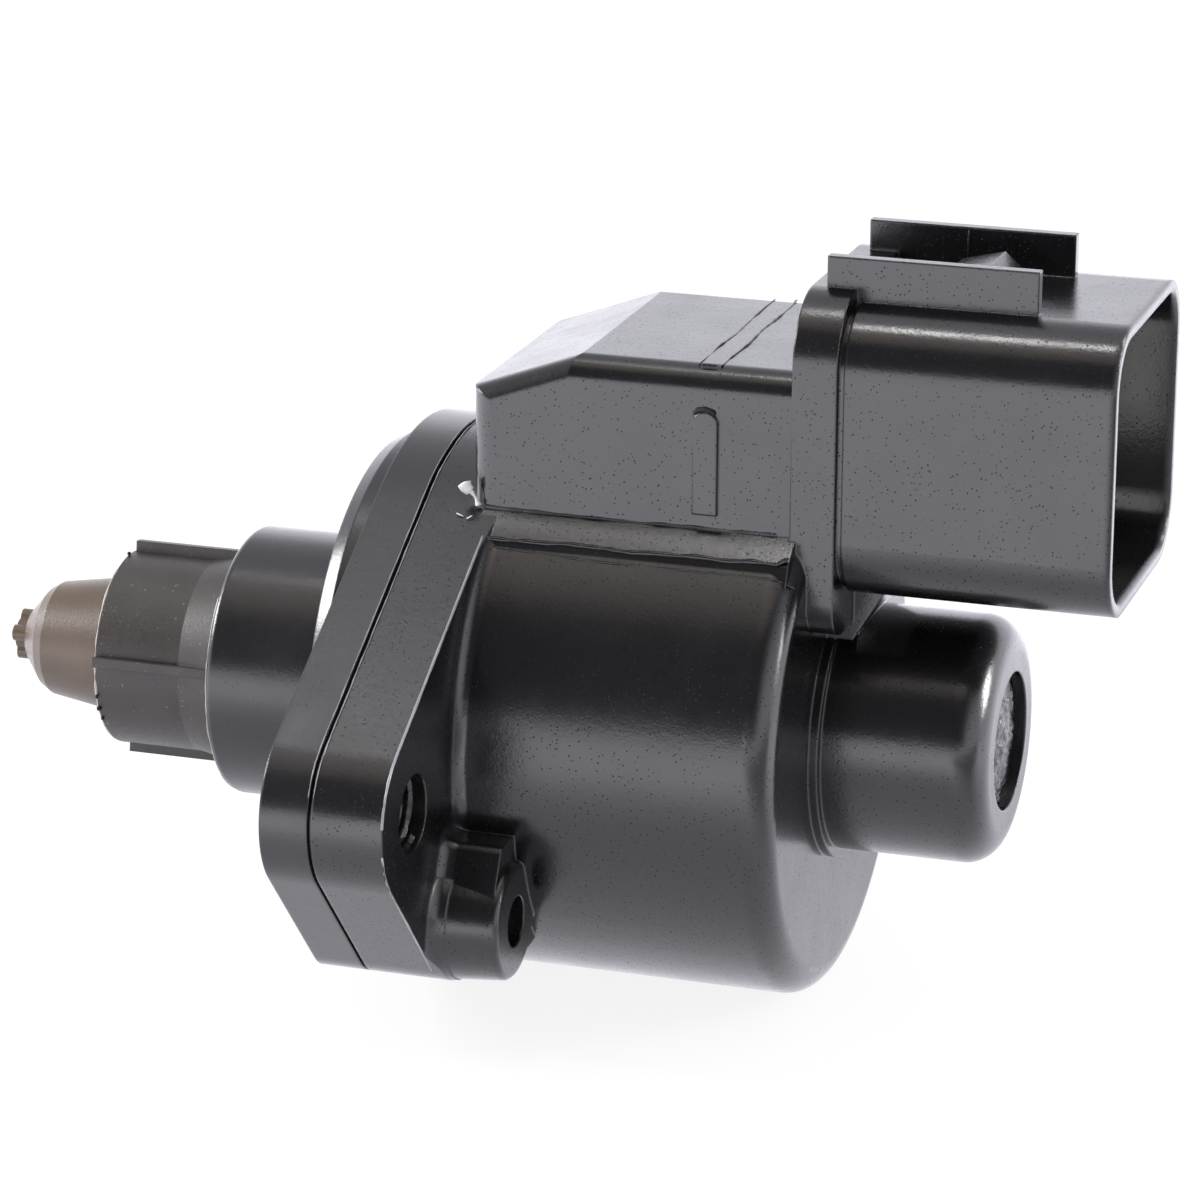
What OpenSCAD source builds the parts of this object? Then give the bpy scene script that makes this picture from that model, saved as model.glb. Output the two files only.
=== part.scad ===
// Idle air control valve: a stepper motor in a moulded housing screws a tapered pintle in and out.
// X runs along the valve axis, from the pintle at -X to the connector mouth at +X. Z points up.
// The origin is on the valve axis, in the flange face that is clamped to the throttle body.

/* [Flange] */
// Distance between the axes of the two mounting screws
screw_pitch = 63; // [58:0.5:68]
// Diameter of each mounting screw hole
screw_hole_d = 6.3; // [5.5:0.1:7]
// Radius of the round end of each ear
ear_r = 6.9; // [6:0.1:8]
// How far the round middle of the flange stands out from the body
flange_lip = 0.2; // [0.1:0.05:1]
// Thickness of the front plate
plate_t = 4.1; // [3.4:0.1:5]
// Thickness of the housing flange
flange_t = 6; // [5:0.1:7]
// Half width of the groove along the joint between plate and flange
joint_half = 0.15; // [0.1:0.05:0.3]
// Depth of the groove along the joint between plate and flange
joint_depth = 0.5; // [0.2:0.1:0.8]

/* [Body] */
// Radius of the motor body
body_r = 22.5; // [22:0.1:24]
// Length of the motor body behind the flange
body_len = 26; // [25:0.5:32]
// Radial wall of the motor body
wall = 2.7; // [2:0.1:3]
// Wall that closes the rear of the motor body
back_wall = 2; // [1.5:0.1:3]
// Rounding of the rear edge of the body
body_round = 2.4; // [1:0.1:3]
// Radius of the fillet between body and flange
body_fillet = 1.2; // [0.5:0.1:2]

/* [Neck] */
// Radius of the neck that carries the rear bearing
neck_r = 10.2; // [9.6:0.1:11]
// Length of the neck behind its foot
neck_len = 13.2; // [12:0.1:16]
// Rounding of the free end of the neck
neck_round = 2.8; // [1:0.1:3.2]
// How far the foot of the neck stands out around it
foot_w = 0.8; // [0.4:0.1:1.5]
// Thickness of the foot of the neck
foot_t = 0.8; // [0.4:0.1:1.5]
// Radius of the recess in the end of the neck
recess_r = 5.7; // [4:0.1:6]
// Depth of the recess in the end of the neck
recess_depth = 2; // [1:0.1:2.5]
// Radius of the gate stub in the middle of the recess
gate_r = 1.3; // [0.8:0.1:2]
// Height of the gate stub
gate_h = 0.8; // [0.4:0.1:1.2]

/* [Screw tubes] */
// Distance from the body to the axis of a screw tube
tube_gap = 3.3; // [2.6:0.1:4]
// Turn of the screw tubes about the valve axis, from the ears
tube_turn = 26; // [22:0.5:30]
// Outer radius of a screw tube at its free end
tube_r = 4.8; // [4:0.1:5.2]
// How much thicker a screw tube is at its foot
tube_draft = 0.4; // [0.1:0.05:0.6]
// Radius of the fillet around the foot of a screw tube
tube_fillet = 1.4; // [0.5:0.1:2]
// Length of a screw tube behind the flange
tube_len = 5.6; // [4:0.1:8]
// Diameter of the hole through a screw tube
tube_hole_d = 4.1; // [3.6:0.1:4.6]
// Rounding of the end of a screw tube
tube_round = 0.6; // [0.3:0.1:1]
// Depth of the countersunk seat of the screw head
screw_seat = 2.2; // [1.8:0.1:2.6]
// How far the screw head stands out around the hole
screw_head_w = 1.2; // [1:0.1:1.5]
// How far the flange corner stands out around the foot of a screw tube
corner_w = 0.1; // [0.05:0.05:1]
// Height of the flat top of the web below the valve axis
web_drop = 4.6; // [4:0.1:6]
// Rounding of the web's outer corner
web_round = 1; // [0.5:0.1:1.5]
// How far the web reaches outwards past the axis of its screw tube
web_out = 2.2; // [1:0.1:3]
// How far the web's side is set back from the tube
web_set = 0.15; // [0.05:0.05:0.3]

/* [Front end] */
// Radius of the round land in front of the plate
land_r = 20.9; // [18:0.1:21.5]
// Thickness of the land
land_t = 3.1; // [2.5:0.1:4]
// Axial length of the tapered front of the land
land_taper = 1.2; // [0.6:0.1:1.8]
// How much the taper takes off the land's radius
land_drop = 0.55; // [0.3:0.05:0.9]
// Radius of the pilot that fits the throttle body's bore
pilot_r = 11.4; // [10.8:0.1:12.5]
// Length of the pilot in front of the land
pilot_len = 12.6; // [11.5:0.1:15]
// Rounding of the pilot's front edge
pilot_round = 0.6; // [0.3:0.1:1]
// Outer radius of the guide sleeve
sleeve_r = 8.3; // [8:0.1:9]
// Bore radius of the guide sleeve
sleeve_bore_r = 6.55; // [6.5:0.05:7]
// How far the guide sleeve stands out of the pilot
sleeve_out = 11.1; // [10:0.1:13]
// How deep the guide sleeve sits in the pilot
sleeve_seat = 3.5; // [3:0.1:4]
// Height of the ribs on the guide sleeve
sleeve_rib_h = 0.87; // [0.5:0.05:1]
// Width of a rib on the guide sleeve
sleeve_rib_w = 0.85; // [0.6:0.05:1.2]
// Number of ribs on the guide sleeve
sleeve_ribs = 4; // [3:1:6]
// How far the ribs start behind the front of the guide sleeve
sleeve_rib_back = 0.1; // [0.1:0.1:3]
// Turn of the first rib above the horizontal
sleeve_rib_turn = 8.4; // [0:0.1:45]
// Length of the flared foot of the guide sleeve
sleeve_flare = 3.6; // [2:0.1:5]

/* [Pintle] */
// How far the pintle's cone stands out of the sleeve
pintle_out = 9.2; // [8:0.1:10]
// Half angle of the pintle's cone, in degrees
pintle_angle = 9; // [5:0.5:9.5]
// Largest radius of the cone, at the mouth of the sleeve
pintle_r = 5.95; // [5.8:0.05:6.1]
// Length of the steep nose of the cone
nose_len = 2.6; // [2:0.1:3]
// Radius of the flat front end of the nose
nose_r = 2.3; // [2.2:0.1:3]
// Length of the lobed tip in front of the nose
tip_len = 1.25; // [0.8:0.05:2]
// Radius over the lobes of the tip
tip_r = 2.15; // [1.8:0.05:2.2]
// Radius of one lobe of the tip
lobe_r = 0.7; // [0.5:0.02:0.8]
// Turn of the first lobe above the horizontal
lobe_turn = 20; // [0:1:45]
// Travel of the pintle back from where it is shown
travel_back = 7; // [5:0.5:7]
// Travel of the pintle forward from where it is shown
travel_front = 1; // [0.5:0.5:1]

/* [Drive] */
// Radius of the lead screw over its thread
spindle_r = 2.5; // [2.2:0.1:2.6]
// Half width of the lead screw across its two flats
flat_half = 2; // [1.7:0.1:2.1]
// Running clearance around the moving pieces, on the radius
run_gap = 0.05; // [0.03:0.01:0.08]
// Length of the threaded part of the rotor hub
nut_len = 12; // [8:0.5:14]
// Outer radius of the guide bush
bush_r = 5; // [4.5:0.1:5.5]
// Length of the guide bush
bush_len = 6; // [5:0.1:6.5]
// Outer radius of a ball bearing
bearing_r = 8; // [7.7:0.1:8.2]
// Bore radius of a ball bearing
bearing_bore_r = 4; // [3.8:0.1:4.3]
// Width of a ball bearing
bearing_w = 5; // [4:0.1:5.2]
// Radius of a bearing ball
ball_r = 1.2; // [1:0.05:1.3]
// Number of balls in a bearing
ball_count = 9; // [7:1:10]
// Share of the room around the inner rings that the rotor hub fills below the magnet
hub_share = 0.32; // [0.3:0.01:0.4]
// Radial gap between the magnet and the poles
air_gap = 0.5; // [0.3:0.05:0.7]
// Share of the motor bore's radius that the bore of the poles takes
pole_share = 0.48; // [0.46:0.01:0.5]
// Space left for the wave washer
washer_t = 0.8; // [0.6:0.1:1.2]

/* [Stator] */
// Thickness of the stator sheet
sheet_t = 1; // [0.8:0.1:1.2]
// Thickness of a pole claw
claw_t = 0.8; // [0.6:0.1:0.9]
// Number of claws on each pole piece
claw_count = 6; // [4:1:8]
// Wall of a bobbin
bobbin_t = 0.9; // [0.7:0.1:1.2]
// Radial step from the coil to the rim of its bobbin
coil_inset = 0.6; // [0.4:0.1:1]
// Length of the plate's spigot inside the body
spigot_len = 2.4; // [2.2:0.1:3]
// Thickness of the seal ring between plate and body
seal_d = 1.2; // [1:0.1:1.5]

/* [Conduit box] */
// Width of the conduit box
box_w = 24.4; // [22:0.2:26]
// Height of the top of the conduit box above the body
box_rise = 9.8; // [7.5:0.1:11.5]
// How far the box reaches forward over the flange
box_over = 2.1; // [0.5:0.1:3]
// Length of the sloping front of the box top
slope_len = 9; // [6:0.1:12]
// Fall of the sloping front of the box top
slope_drop = 3.3; // [2:0.1:5]
// Rounding of the edges of the box
box_round = 2; // [1:0.1:3]
// Width of the skirt at the foot of the box
skirt_w = 29; // [27:0.5:31]
// Height of the skirt above the body
skirt_t = 0.25; // [0.25:0.1:0.95]
// Height of the sloping side that runs out from the skirt's edge into the body
skirt_run = 2; // [1:0.1:3]
// Width of the witness strip across the box
strip_w = 2; // [1:0.1:3]
// Height of the witness strip
strip_h = 0.35; // [0.2:0.05:0.6]
// Distance from the collar to the witness strip
strip_back = 6; // [4:0.1:9]

/* [Connector] */
// Height of the connector's middle above the body
plug_rise = 3.2; // [2.5:0.1:4.5]
// Outer width of the connector shroud
shroud_w = 24.6; // [22:0.2:26]
// Outer height of the connector shroud
shroud_h = 23.4; // [22:0.1:24]
// Wall of the connector shroud
shroud_t = 1; // [0.8:0.1:1.5]
// Length of the connector shroud behind the collar
shroud_len = 21.9; // [20:0.1:26]
// Corner radius of the connector shroud
shroud_round = 5; // [3:0.5:6]
// Thickness of the collar
collar_t = 3.6; // [3:0.1:5]
// How far the collar starts ahead of the rear of the body
collar_ahead = 1.4; // [0.5:0.1:3]
// How far the collar stands above the shroud
collar_rise = 1; // [0.5:0.1:2]
// How far the collar stands out beside the shroud
collar_side = 0.2; // [0.1:0.05:0.5]
// Corner radius of the collar
collar_round = 5.5; // [4:0.1:6.5]
// Corner radius at the foot of the collar
collar_foot_round = 3; // [2:0.1:4]
// Width of the groove between collar and shroud
groove_w = 0.5; // [0.3:0.1:1]
// Depth of the groove between collar and shroud
groove_d = 0.3; // [0.2:0.05:0.5]
// Length of the gusset under the shroud
gusset_len = 3.2; // [2:0.1:5]
// Width of the gusset under the shroud
gusset_w = 12; // [8:0.5:16]
// Clear width between the two latch rails
rail_gap = 12; // [10:0.5:13]
// Thickness of a latch rail
rail_t = 1; // [0.8:0.1:1.5]
// Height of a latch rail above the shroud
rail_h = 3.45; // [2.5:0.05:5]
// Length of a latch rail
rail_len = 16.9; // [14:0.1:19]
// Distance from the collar's front face to the rails
rail_set = 1.2; // [0.4:0.1:2]
// Width of the latch catch
catch_w = 5; // [4:0.1:7]
// Height of the latch catch
catch_h = 2.6; // [2:0.1:3.4]
// Length of the latch catch
catch_len = 6.4; // [6:0.1:9]
// Distance from the collar to the latch catch
catch_back = 6.1; // [4:0.1:7]

/* [Terminals] */
// Distance between neighbouring terminals in a row
pin_pitch = 5.6; // [4:0.1:6]
// Distance between the two rows of terminals
row_pitch = 5; // [4:0.1:6]
// Width of a terminal blade
pin_w = 2; // [1.5:0.1:2.3]
// Thickness of a terminal blade
pin_t = 0.8; // [0.6:0.05:1]
// Length of a terminal inside the connector
pin_out = 13.7; // [10:0.1:15]
// Width of the terminal block on a bobbin, along the valve axis
block_w = 3.2; // [2.8:0.1:4]

/* [Hidden] */
$fn = 64;
// Overlap that makes a cut or a union go clean through a face
eps = 0.5;
// A sunk tangent line meets its circle at a clear corner
hair = 0.004;
// A length that passes every face
far = 4 * body_r;
// Distance from the end of an assembly screw to the end of its tube
screw_end_gap = 2;

// Places along the valve axis
flange_back = plate_t + flange_t;
body_back = flange_back + body_len;
foot_back = body_back + foot_t;
neck_end = foot_back + neck_len;
cavity_back = body_back - back_wall;
land_front = -land_t;
pilot_front = land_front - pilot_len;
sleeve_front = pilot_front - sleeve_out;
sleeve_back = pilot_front + sleeve_seat;
cone_front = sleeve_front - pintle_out;
stator_front = plate_t + spigot_len;
stator_mid = (stator_front + cavity_back) / 2;
collar_front = body_back - collar_ahead;
collar_back = collar_front + collar_t;
mouth = collar_back + shroud_len;
box_front = flange_back - box_over;

// Radii
flange_r = body_r + flange_lip;
bore_r = body_r - wall;
spigot_gap = 0.1;
spigot_r = bore_r - spigot_gap;
seal_x = plate_t + seal_d / 2;
spindle_room = 0.7;
tube_y = (body_r + tube_gap) * cos(tube_turn);
tube_z = (body_r + tube_gap) * sin(tube_turn);
tube_foot_r = tube_r + tube_draft;
corner_r = tube_foot_r + corner_w;
head_r = tube_hole_d / 2 + screw_head_w;
pole_r = bore_r * pole_share;
yoke_r = bore_r - 0.2;
magnet_r = pole_r - air_gap;
hub_r = bearing_bore_r + (magnet_r - bearing_bore_r) * hub_share;
bobbin_bore_r = pole_r + claw_t + 0.1;
bobbin_rim_r = yoke_r - sheet_t - 0.2;
coil_in_r = bobbin_bore_r + bobbin_t;
coil_out_r = bobbin_rim_r - coil_inset;
hub_bore_r = spindle_r + 0.5;

// Bearings: the front one sits in the plate, the rear one in the neck
front_bearing_x = plate_t - bearing_w;
pocket_wall = 1.5;
rear_bearing_x = cavity_back + pocket_wall;
rear_bearing_back = rear_bearing_x + bearing_w;
pocket_back = rear_bearing_back + washer_t;
bearing_mid_r = (bearing_r + bearing_bore_r) / 2;
ring_gap = 0.6;
ball_gap = 0.03;
seat_gap = 0.02;

// Lead screw: its flats stay in the guide bush over the whole travel
bush_gap = 0.6;
flat_spare = 1;
nose_wall = 1.5;
bush_front = sleeve_back + bush_gap;
bush_back = bush_front + bush_len;
flats_front = bush_front - travel_back - flat_spare;
flats_back = bush_back + travel_front + flat_spare;
spindle_front = cone_front + nose_len + nose_wall;
spindle_back = rear_bearing_x + nose_wall / 4;
relief_back = spindle_back + travel_back + flat_spare;
skirt_back = sleeve_back - travel_back - bush_gap;
nut_front = stator_mid - nut_len / 2;
magnet_len = (cavity_back - stator_front) * 0.76;

// Connector and terminals
box_top = body_r + box_rise;
plug_z = body_r + plug_rise;
plug_top = plug_z + shroud_h / 2;
plug_bottom = plug_z - shroud_h / 2;
pin_end = collar_back + pin_out;
upper_row = plug_z + row_pitch / 2;
lower_row = plug_z - row_pitch / 2;
upper_block_x = stator_mid - sheet_t - block_w;
lower_block_x = stator_mid + sheet_t;
block_half = pin_pitch + pin_w / 2 + 1.2;
block_gap = 0.25;
pin_foot = bobbin_rim_r - 0.3;

// Turns a profile of [radius, X] points about the valve axis
module turned() {
    rotate([0, 90, 0]) rotate_extrude() children();
}

// Extrudes an outline of [Y, Z] points along X, from x0 to x1
module along_x(x0, x1) {
    translate([x0, 0, 0]) rotate([90, 0, 90]) linear_extrude(x1 - x0) children();
}

// Extrudes an outline of [X, Z] points across Y, over the width w
module across_y(w) {
    translate([0, w / 2, 0]) rotate([90, 0, 0]) linear_extrude(w) children();
}

// A tube about the valve axis
module ring(r_in, r_out, x0, x1) {
    turned() translate([r_in, x0]) square([r_out - r_in, x1 - x0]);
}

// A disc about the valve axis
module disc(r, x0, x1) {
    translate([x0, 0, 0]) rotate([0, 90, 0]) cylinder(r = r, h = x1 - x0);
}

// A rod parallel to the valve axis
module rod(r, y, z, x0, x1) {
    translate([x0, y, z]) rotate([0, 90, 0]) cylinder(r = r, h = x1 - x0);
}

// Outline of a rectangle with round corners, centred on [0, z]
module rounded_outline(w, h, z, r) {
    translate([-w / 2 + r, z - h / 2]) square([w - 2 * r, h]);
    translate([-w / 2, z - h / 2 + r]) square([w, h - 2 * r]);
    for (y = [-w / 2 + r, w / 2 - r], v = [z - h / 2 + r, z + h / 2 - r]) translate([y, v]) circle(r);
}

// The touching points of an outer tangent of two circles, on its left (1) or right (-1)
function tangent(a, ra, b, rb, way) =
    let (turn = atan2(b[1] - a[1], b[0] - a[0]))
    let (out = turn + way * acos((ra - rb) / norm(b - a)))
    [a + ra * [cos(out), sin(out)], b + rb * [cos(out), sin(out)]];

// Two circles and the band between their outer tangents
module band(a, ra, b, rb) {
    left = tangent(a, ra - hair, b, rb - hair, 1);
    right = tangent(a, ra - hair, b, rb - hair, -1);
    translate(a) circle(ra);
    translate(b) circle(rb);
    polygon([a, right[0], right[1], b, left[1], left[0]]);
}

// The flange's outline: a round middle, two ears and a corner at each screw tube
module flange_outline(inset = 0) {
    for (side = [-1, 1]) {
        ear = [side * screw_pitch / 2, 0];
        corner = side * [tube_y, tube_z];
        band([0, 0], flange_r - inset, ear, ear_r - inset);
        band(ear, ear_r - inset, corner, corner_r - inset);
        band([0, 0], flange_r - inset, corner, corner_r - inset);
    }
}

// Both mounting screw holes
module mounting_holes(x0, x1) {
    for (side = [-1, 1]) rod(screw_hole_d / 2, side * screw_pitch / 2, 0, x0, x1);
}

// A shaft outline with two flats
module flatted_outline(r, half) {
    intersection() {
        circle(r);
        translate([-r - 1, -half]) square([2 * r + 2, 2 * half]);
    }
}

// The hollow cross-section of a fillet that stands on the flange, at the distance r
module fillet_section(r, fillet) {
    difference() {
        translate([r - eps, flange_back - eps]) square(fillet + eps);
        translate([r + fillet, flange_back + fillet]) circle(fillet);
    }
}

// A fillet on the flange along the line from p to q, on its left
module line_fillet(p, q) {
    translate([0, p[0], p[1]]) rotate([atan2(q[1] - p[1], q[0] - p[0]), 0, 0])
        translate([0, norm(q - p), 0]) rotate([90, 0, 0]) linear_extrude(norm(q - p))
            mirror([1, -1]) fillet_section(0, tube_fillet);
}

// A screw tube and the web that ties it to the body
module screw_tube(side) {
    tube_end = flange_back + tube_len;
    web_end = tube_end - tube_round;
    web_r = tube_r - web_set;
    tube = [tube_y, tube_z];
    corner = [tube_y + web_out - web_round, web_drop + web_round];
    inner = [body_r - 2 * wall, web_drop + web_round];
    below = [body_r - 3 * wall, tube_z];
    below_r = web_r - web_round;
    near_side = tangent(tube, web_r, corner, web_round, 1);
    far_side = tangent(below, below_r, tube, web_r, 1);
    rotate([side > 0 ? 0 : 180, 0, 0]) {
        translate([0, tube_y, tube_z]) turned() {
            polygon([
                [0, flange_back - eps],
                [tube_foot_r, flange_back - eps],
                [tube_foot_r, flange_back],
                [tube_r, web_end],
                [0, web_end]
            ]);
            translate([0, flange_back]) square([tube_r - tube_round, tube_len]);
            translate([tube_r - tube_round, web_end]) circle(tube_round);
        }
        along_x(flange_back - eps, web_end) {
            band(tube, web_r, corner, web_round);
            band(corner, web_round, inner, web_round);
            band(below, below_r, tube, web_r);
            polygon([tube, corner, inner, below]);
        }
        intersection() {
            union() {
                translate([0, tube_y, tube_z]) turned() fillet_section(tube_foot_r, tube_fillet);
                translate([0, corner[0], corner[1]]) turned() fillet_section(web_round + hair, tube_fillet);
                line_fillet(near_side[0], near_side[1]);
                line_fillet([corner[0], web_drop], [inner[0], web_drop]);
                line_fillet(far_side[0], far_side[1]);
            }
            along_x(flange_back - eps, tube_end) flange_outline();
        }
    }
}

// Body, foot and neck as one turned shape
module turned_shell() {
    turned() {
        translate([0, plate_t]) square([body_r, body_back - plate_t - body_round]);
        translate([0, body_back - body_round - eps]) square([body_r - body_round, body_round + eps]);
        translate([body_r - body_round, body_back - body_round]) circle(body_round);
        translate([0, body_back - eps]) square([neck_r + foot_w, foot_t + eps]);
        translate([0, foot_back - eps]) square([neck_r, neck_len + eps - neck_round]);
        translate([0, neck_end - neck_round - eps]) square([neck_r - neck_round, neck_round + eps]);
        translate([neck_r - neck_round, neck_end - neck_round]) circle(neck_round);
    }
}

// The box over the body that carries the terminals up to the connector
module conduit_box() {
    slope_angle = atan2(slope_drop, slope_len);
    box_back = collar_front + eps;
    box_len = box_back - box_front;
    skirt_r = body_r + skirt_t;
    skirt_z = sqrt(pow(skirt_r, 2) - pow(skirt_w / 2, 2));
    intersection() {
        along_x(box_front - eps, box_back) rounded_outline(box_w, 2 * box_top, 0, box_round);
        translate([box_front + slope_len, 0, box_top]) rotate([0, -slope_angle, 0])
            along_x(-far, far) rounded_outline(box_w, 2 * far, -far, box_round * 0.8);
        translate([box_front + box_len / 2 + box_round, 0, body_r / 2])
            linear_extrude(box_top) rounded_outline_xy(box_len + 2 * box_round, box_w, box_round);
    }
    intersection() {
        disc(skirt_r, box_front, box_back);
        along_x(box_front - eps, box_back + eps) polygon([
            [-skirt_w / 2, far],
            [-skirt_w / 2, skirt_z],
            [-skirt_w / 2 - skirt_run / 2, skirt_z - skirt_run],
            [skirt_w / 2 + skirt_run / 2, skirt_z - skirt_run],
            [skirt_w / 2, skirt_z],
            [skirt_w / 2, far]
        ]);
    }
    witness_strip();
}

// Outline of a rectangle in the XY plane with round corners
module rounded_outline_xy(l, w, r) {
    translate([-l / 2 + r, -w / 2]) square([l - 2 * r, w]);
    translate([-l / 2, -w / 2 + r]) square([l, w - 2 * r]);
    for (x = [-l / 2 + r, l / 2 - r], y = [-w / 2 + r, w / 2 - r]) translate([x, y]) circle(r);
}

// The strip that the mould leaves down both sides of the box
module witness_strip() {
    strip_x = collar_front - strip_back - strip_w;
    strip_top = box_top - box_round - 1.4;
    strip_foot = body_r - 2;
    for (side = [-1, 1]) {
        translate([strip_x, side * box_w / 2 - strip_h, strip_foot])
            cube([strip_w, 2 * strip_h, strip_top - strip_w / 2 - strip_foot]);
        translate([strip_x + strip_w / 2, side * box_w / 2 - strip_h, strip_top - strip_w / 2])
            rotate([-90, 0, 0]) cylinder(d = strip_w, h = 2 * strip_h);
    }
}

// The collar: wide round corners at the top, tighter ones at the foot
module collar() {
    collar_w = shroud_w + 2 * collar_side;
    collar_top = plug_top + collar_rise;
    collar_foot = neck_r + foot_w - 0.1;
    collar_h = collar_top - collar_foot;
    collar_mid = (collar_top + collar_foot) / 2;
    along_x(collar_front, collar_back) {
        intersection() {
            rounded_outline(collar_w, collar_h, collar_mid, collar_round);
            translate([-collar_w, collar_mid]) square([2 * collar_w, collar_h]);
        }
        intersection() {
            rounded_outline(collar_w, collar_h, collar_mid, collar_foot_round);
            translate([-collar_w, collar_mid - collar_h]) square([2 * collar_w, collar_h]);
        }
    }
}

// Shroud, latch rails, catch and gusset of the connector
module connector() {
    rail_front = collar_front + rail_set;
    gusset_foot = neck_r - 1;
    along_x(collar_back - eps, collar_back + groove_w + eps)
        rounded_outline(shroud_w - 2 * groove_d, shroud_h - 2 * groove_d, plug_z, shroud_round - groove_d);
    along_x(collar_back + groove_w, mouth) rounded_outline(shroud_w, shroud_h, plug_z, shroud_round);
    for (side = [-1, 1])
        translate([rail_front, side * (rail_gap + rail_t) / 2 - rail_t / 2, plug_top - shroud_t / 2])
            cube([rail_len, rail_t, rail_h + shroud_t / 2]);
    latch_catch();
    across_y(gusset_w) polygon([
        [collar_front + 1, gusset_foot],
        [collar_back, gusset_foot],
        [collar_back + gusset_len, plug_bottom + shroud_t / 2],
        [collar_front + 1, plug_bottom + shroud_t / 2]
    ]);
}

// The latch catch: a wedge that the mating plug's tongue snaps over
module latch_catch() {
    catch_x = collar_back + catch_back;
    foot_z = plug_top - shroud_t / 2;
    across_y(catch_w) polygon([
        [catch_x, foot_z],
        [catch_x, plug_top + catch_h * 0.67],
        [catch_x + catch_len * 0.55, plug_top + catch_h],
        [catch_x + catch_len, plug_top],
        [catch_x + catch_len, foot_z]
    ]);
}

// One terminal: a blade in the connector, a run in the box and a leg down to its bobbin
module terminal_shape(y, row_z, leg_x) {
    translate([leg_x - pin_t / 2, y - pin_w / 2, row_z - pin_t / 2])
        cube([pin_end - leg_x + pin_t / 2, pin_w, pin_t]);
    translate([leg_x - pin_t / 2, y - pin_w / 2, pin_foot])
        cube([pin_t, pin_w, row_z - pin_t / 2 - pin_foot]);
}

module all_terminals() {
    for (i = [-1, 0, 1]) {
        terminal_shape(i * pin_pitch, upper_row, upper_block_x + block_w / 2);
        terminal_shape(i * pin_pitch, lower_row, lower_block_x + block_w / 2);
    }
}

module housing() {
    color("#2b2b2e") difference() {
        union() {
            turned_shell();
            along_x(plate_t, flange_back) flange_outline(joint_depth);
            along_x(plate_t + joint_half, flange_back) flange_outline();
            intersection() {
                turned() fillet_section(body_r, body_fillet);
                along_x(flange_back - eps, body_back) flange_outline();
            }
            for (side = [-1, 1]) screw_tube(side);
            conduit_box();
            collar();
            connector();
            disc(gate_r, neck_end - recess_depth - eps, neck_end - recess_depth + gate_h);
        }
        // Motor cavity, rear bearing pocket and room for the lead screw
        disc(bore_r, plate_t - eps, cavity_back);
        disc(bearing_r + seat_gap, cavity_back - eps, pocket_back);
        disc(spindle_r + 1, pocket_back - eps, relief_back);
        // Recess in the neck around the gate stub
        ring(gate_r, recess_r, neck_end - recess_depth, neck_end + eps);
        disc(recess_r, neck_end - recess_depth + gate_h, neck_end + eps);
        // Screw holes
        mounting_holes(plate_t - eps, flange_back + eps);
        for (side = [-1, 1])
            rod(tube_hole_d / 2, side * tube_y, side * tube_z, plate_t - eps, flange_back + tube_len + eps);
        // Inside of the connector shroud
        along_x(collar_back, mouth + eps)
            rounded_outline(
                shroud_w - 2 * shroud_t,
                shroud_h - 2 * shroud_t,
                plug_z,
                shroud_round - shroud_t
            );
        all_terminals();
    }
}

module front_plate() {
    color("#303033") difference() {
        union() {
            along_x(0, plate_t - joint_half) flange_outline();
            along_x(0, plate_t) flange_outline(joint_depth);
            turned() {
                polygon([
                    [0, plate_t / 2],
                    [land_r, plate_t / 2],
                    [land_r, land_front + land_taper],
                    [land_r - land_drop, land_front],
                    [0, land_front]
                ]);
                translate([0, pilot_front]) square([pilot_r - pilot_round, pilot_len + eps]);
                translate([0, pilot_front + pilot_round]) square([pilot_r, pilot_len + eps - pilot_round]);
                translate([pilot_r - pilot_round, pilot_front + pilot_round]) circle(pilot_round);
            }
            disc(spigot_r, plate_t - eps, stator_front);
        }
        // Seats of the guide sleeve, the guide bush and the front bearing
        disc(sleeve_r + seat_gap, pilot_front - eps, sleeve_back);
        disc(bush_r + seat_gap, sleeve_back - eps, bush_back);
        disc(spindle_r + spindle_room, bush_back - eps, front_bearing_x + eps);
        disc(bearing_r + seat_gap, front_bearing_x, plate_t + eps);
        disc(bearing_r + 1, plate_t, stator_front + eps);
        // Groove of the seal ring
        ring(spigot_r - seal_d, bore_r + 1, seal_x, seal_x + seal_d);
        mounting_holes(-eps, plate_t + eps);
        for (side = [-1, 1]) {
            rod(tube_hole_d / 2, side * tube_y, side * tube_z, -eps, plate_t + eps);
            rod(head_r + spigot_gap, side * tube_y, side * tube_z, -eps, screw_seat);
        }
    }
}

module guide_sleeve() {
    rib_r = sleeve_r + sleeve_rib_h;
    rib_front = sleeve_front + sleeve_rib_back;
    color("#262628") difference() {
        union() {
            disc(sleeve_r, sleeve_front, sleeve_back);
            intersection() {
                union() {
                    turned() polygon([
                        [0, pilot_front - sleeve_flare],
                        [sleeve_r, pilot_front - sleeve_flare],
                        [rib_r - 0.12, pilot_front],
                        [rib_r - 0.12, pilot_front + eps],
                        [0, pilot_front + eps]
                    ]);
                    for (i = [0 : sleeve_ribs - 1])
                        rotate([-sleeve_rib_turn - i * 360 / sleeve_ribs, 0, 0])
                            translate([rib_front, -rib_r, -sleeve_rib_w / 2])
                                cube([pilot_front + eps - rib_front, sleeve_rib_h + 1, sleeve_rib_w]);
                }
                disc(rib_r + 1, sleeve_front, pilot_front);
            }
        }
        disc(sleeve_bore_r, sleeve_front - eps, sleeve_back + eps);
    }
}

module guide_bush() {
    color("#b9b49f") difference() {
        disc(bush_r, bush_front, bush_back);
        along_x(bush_front - eps, bush_back + eps)
            flatted_outline(spindle_r + run_gap, flat_half + run_gap);
    }
}

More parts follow.
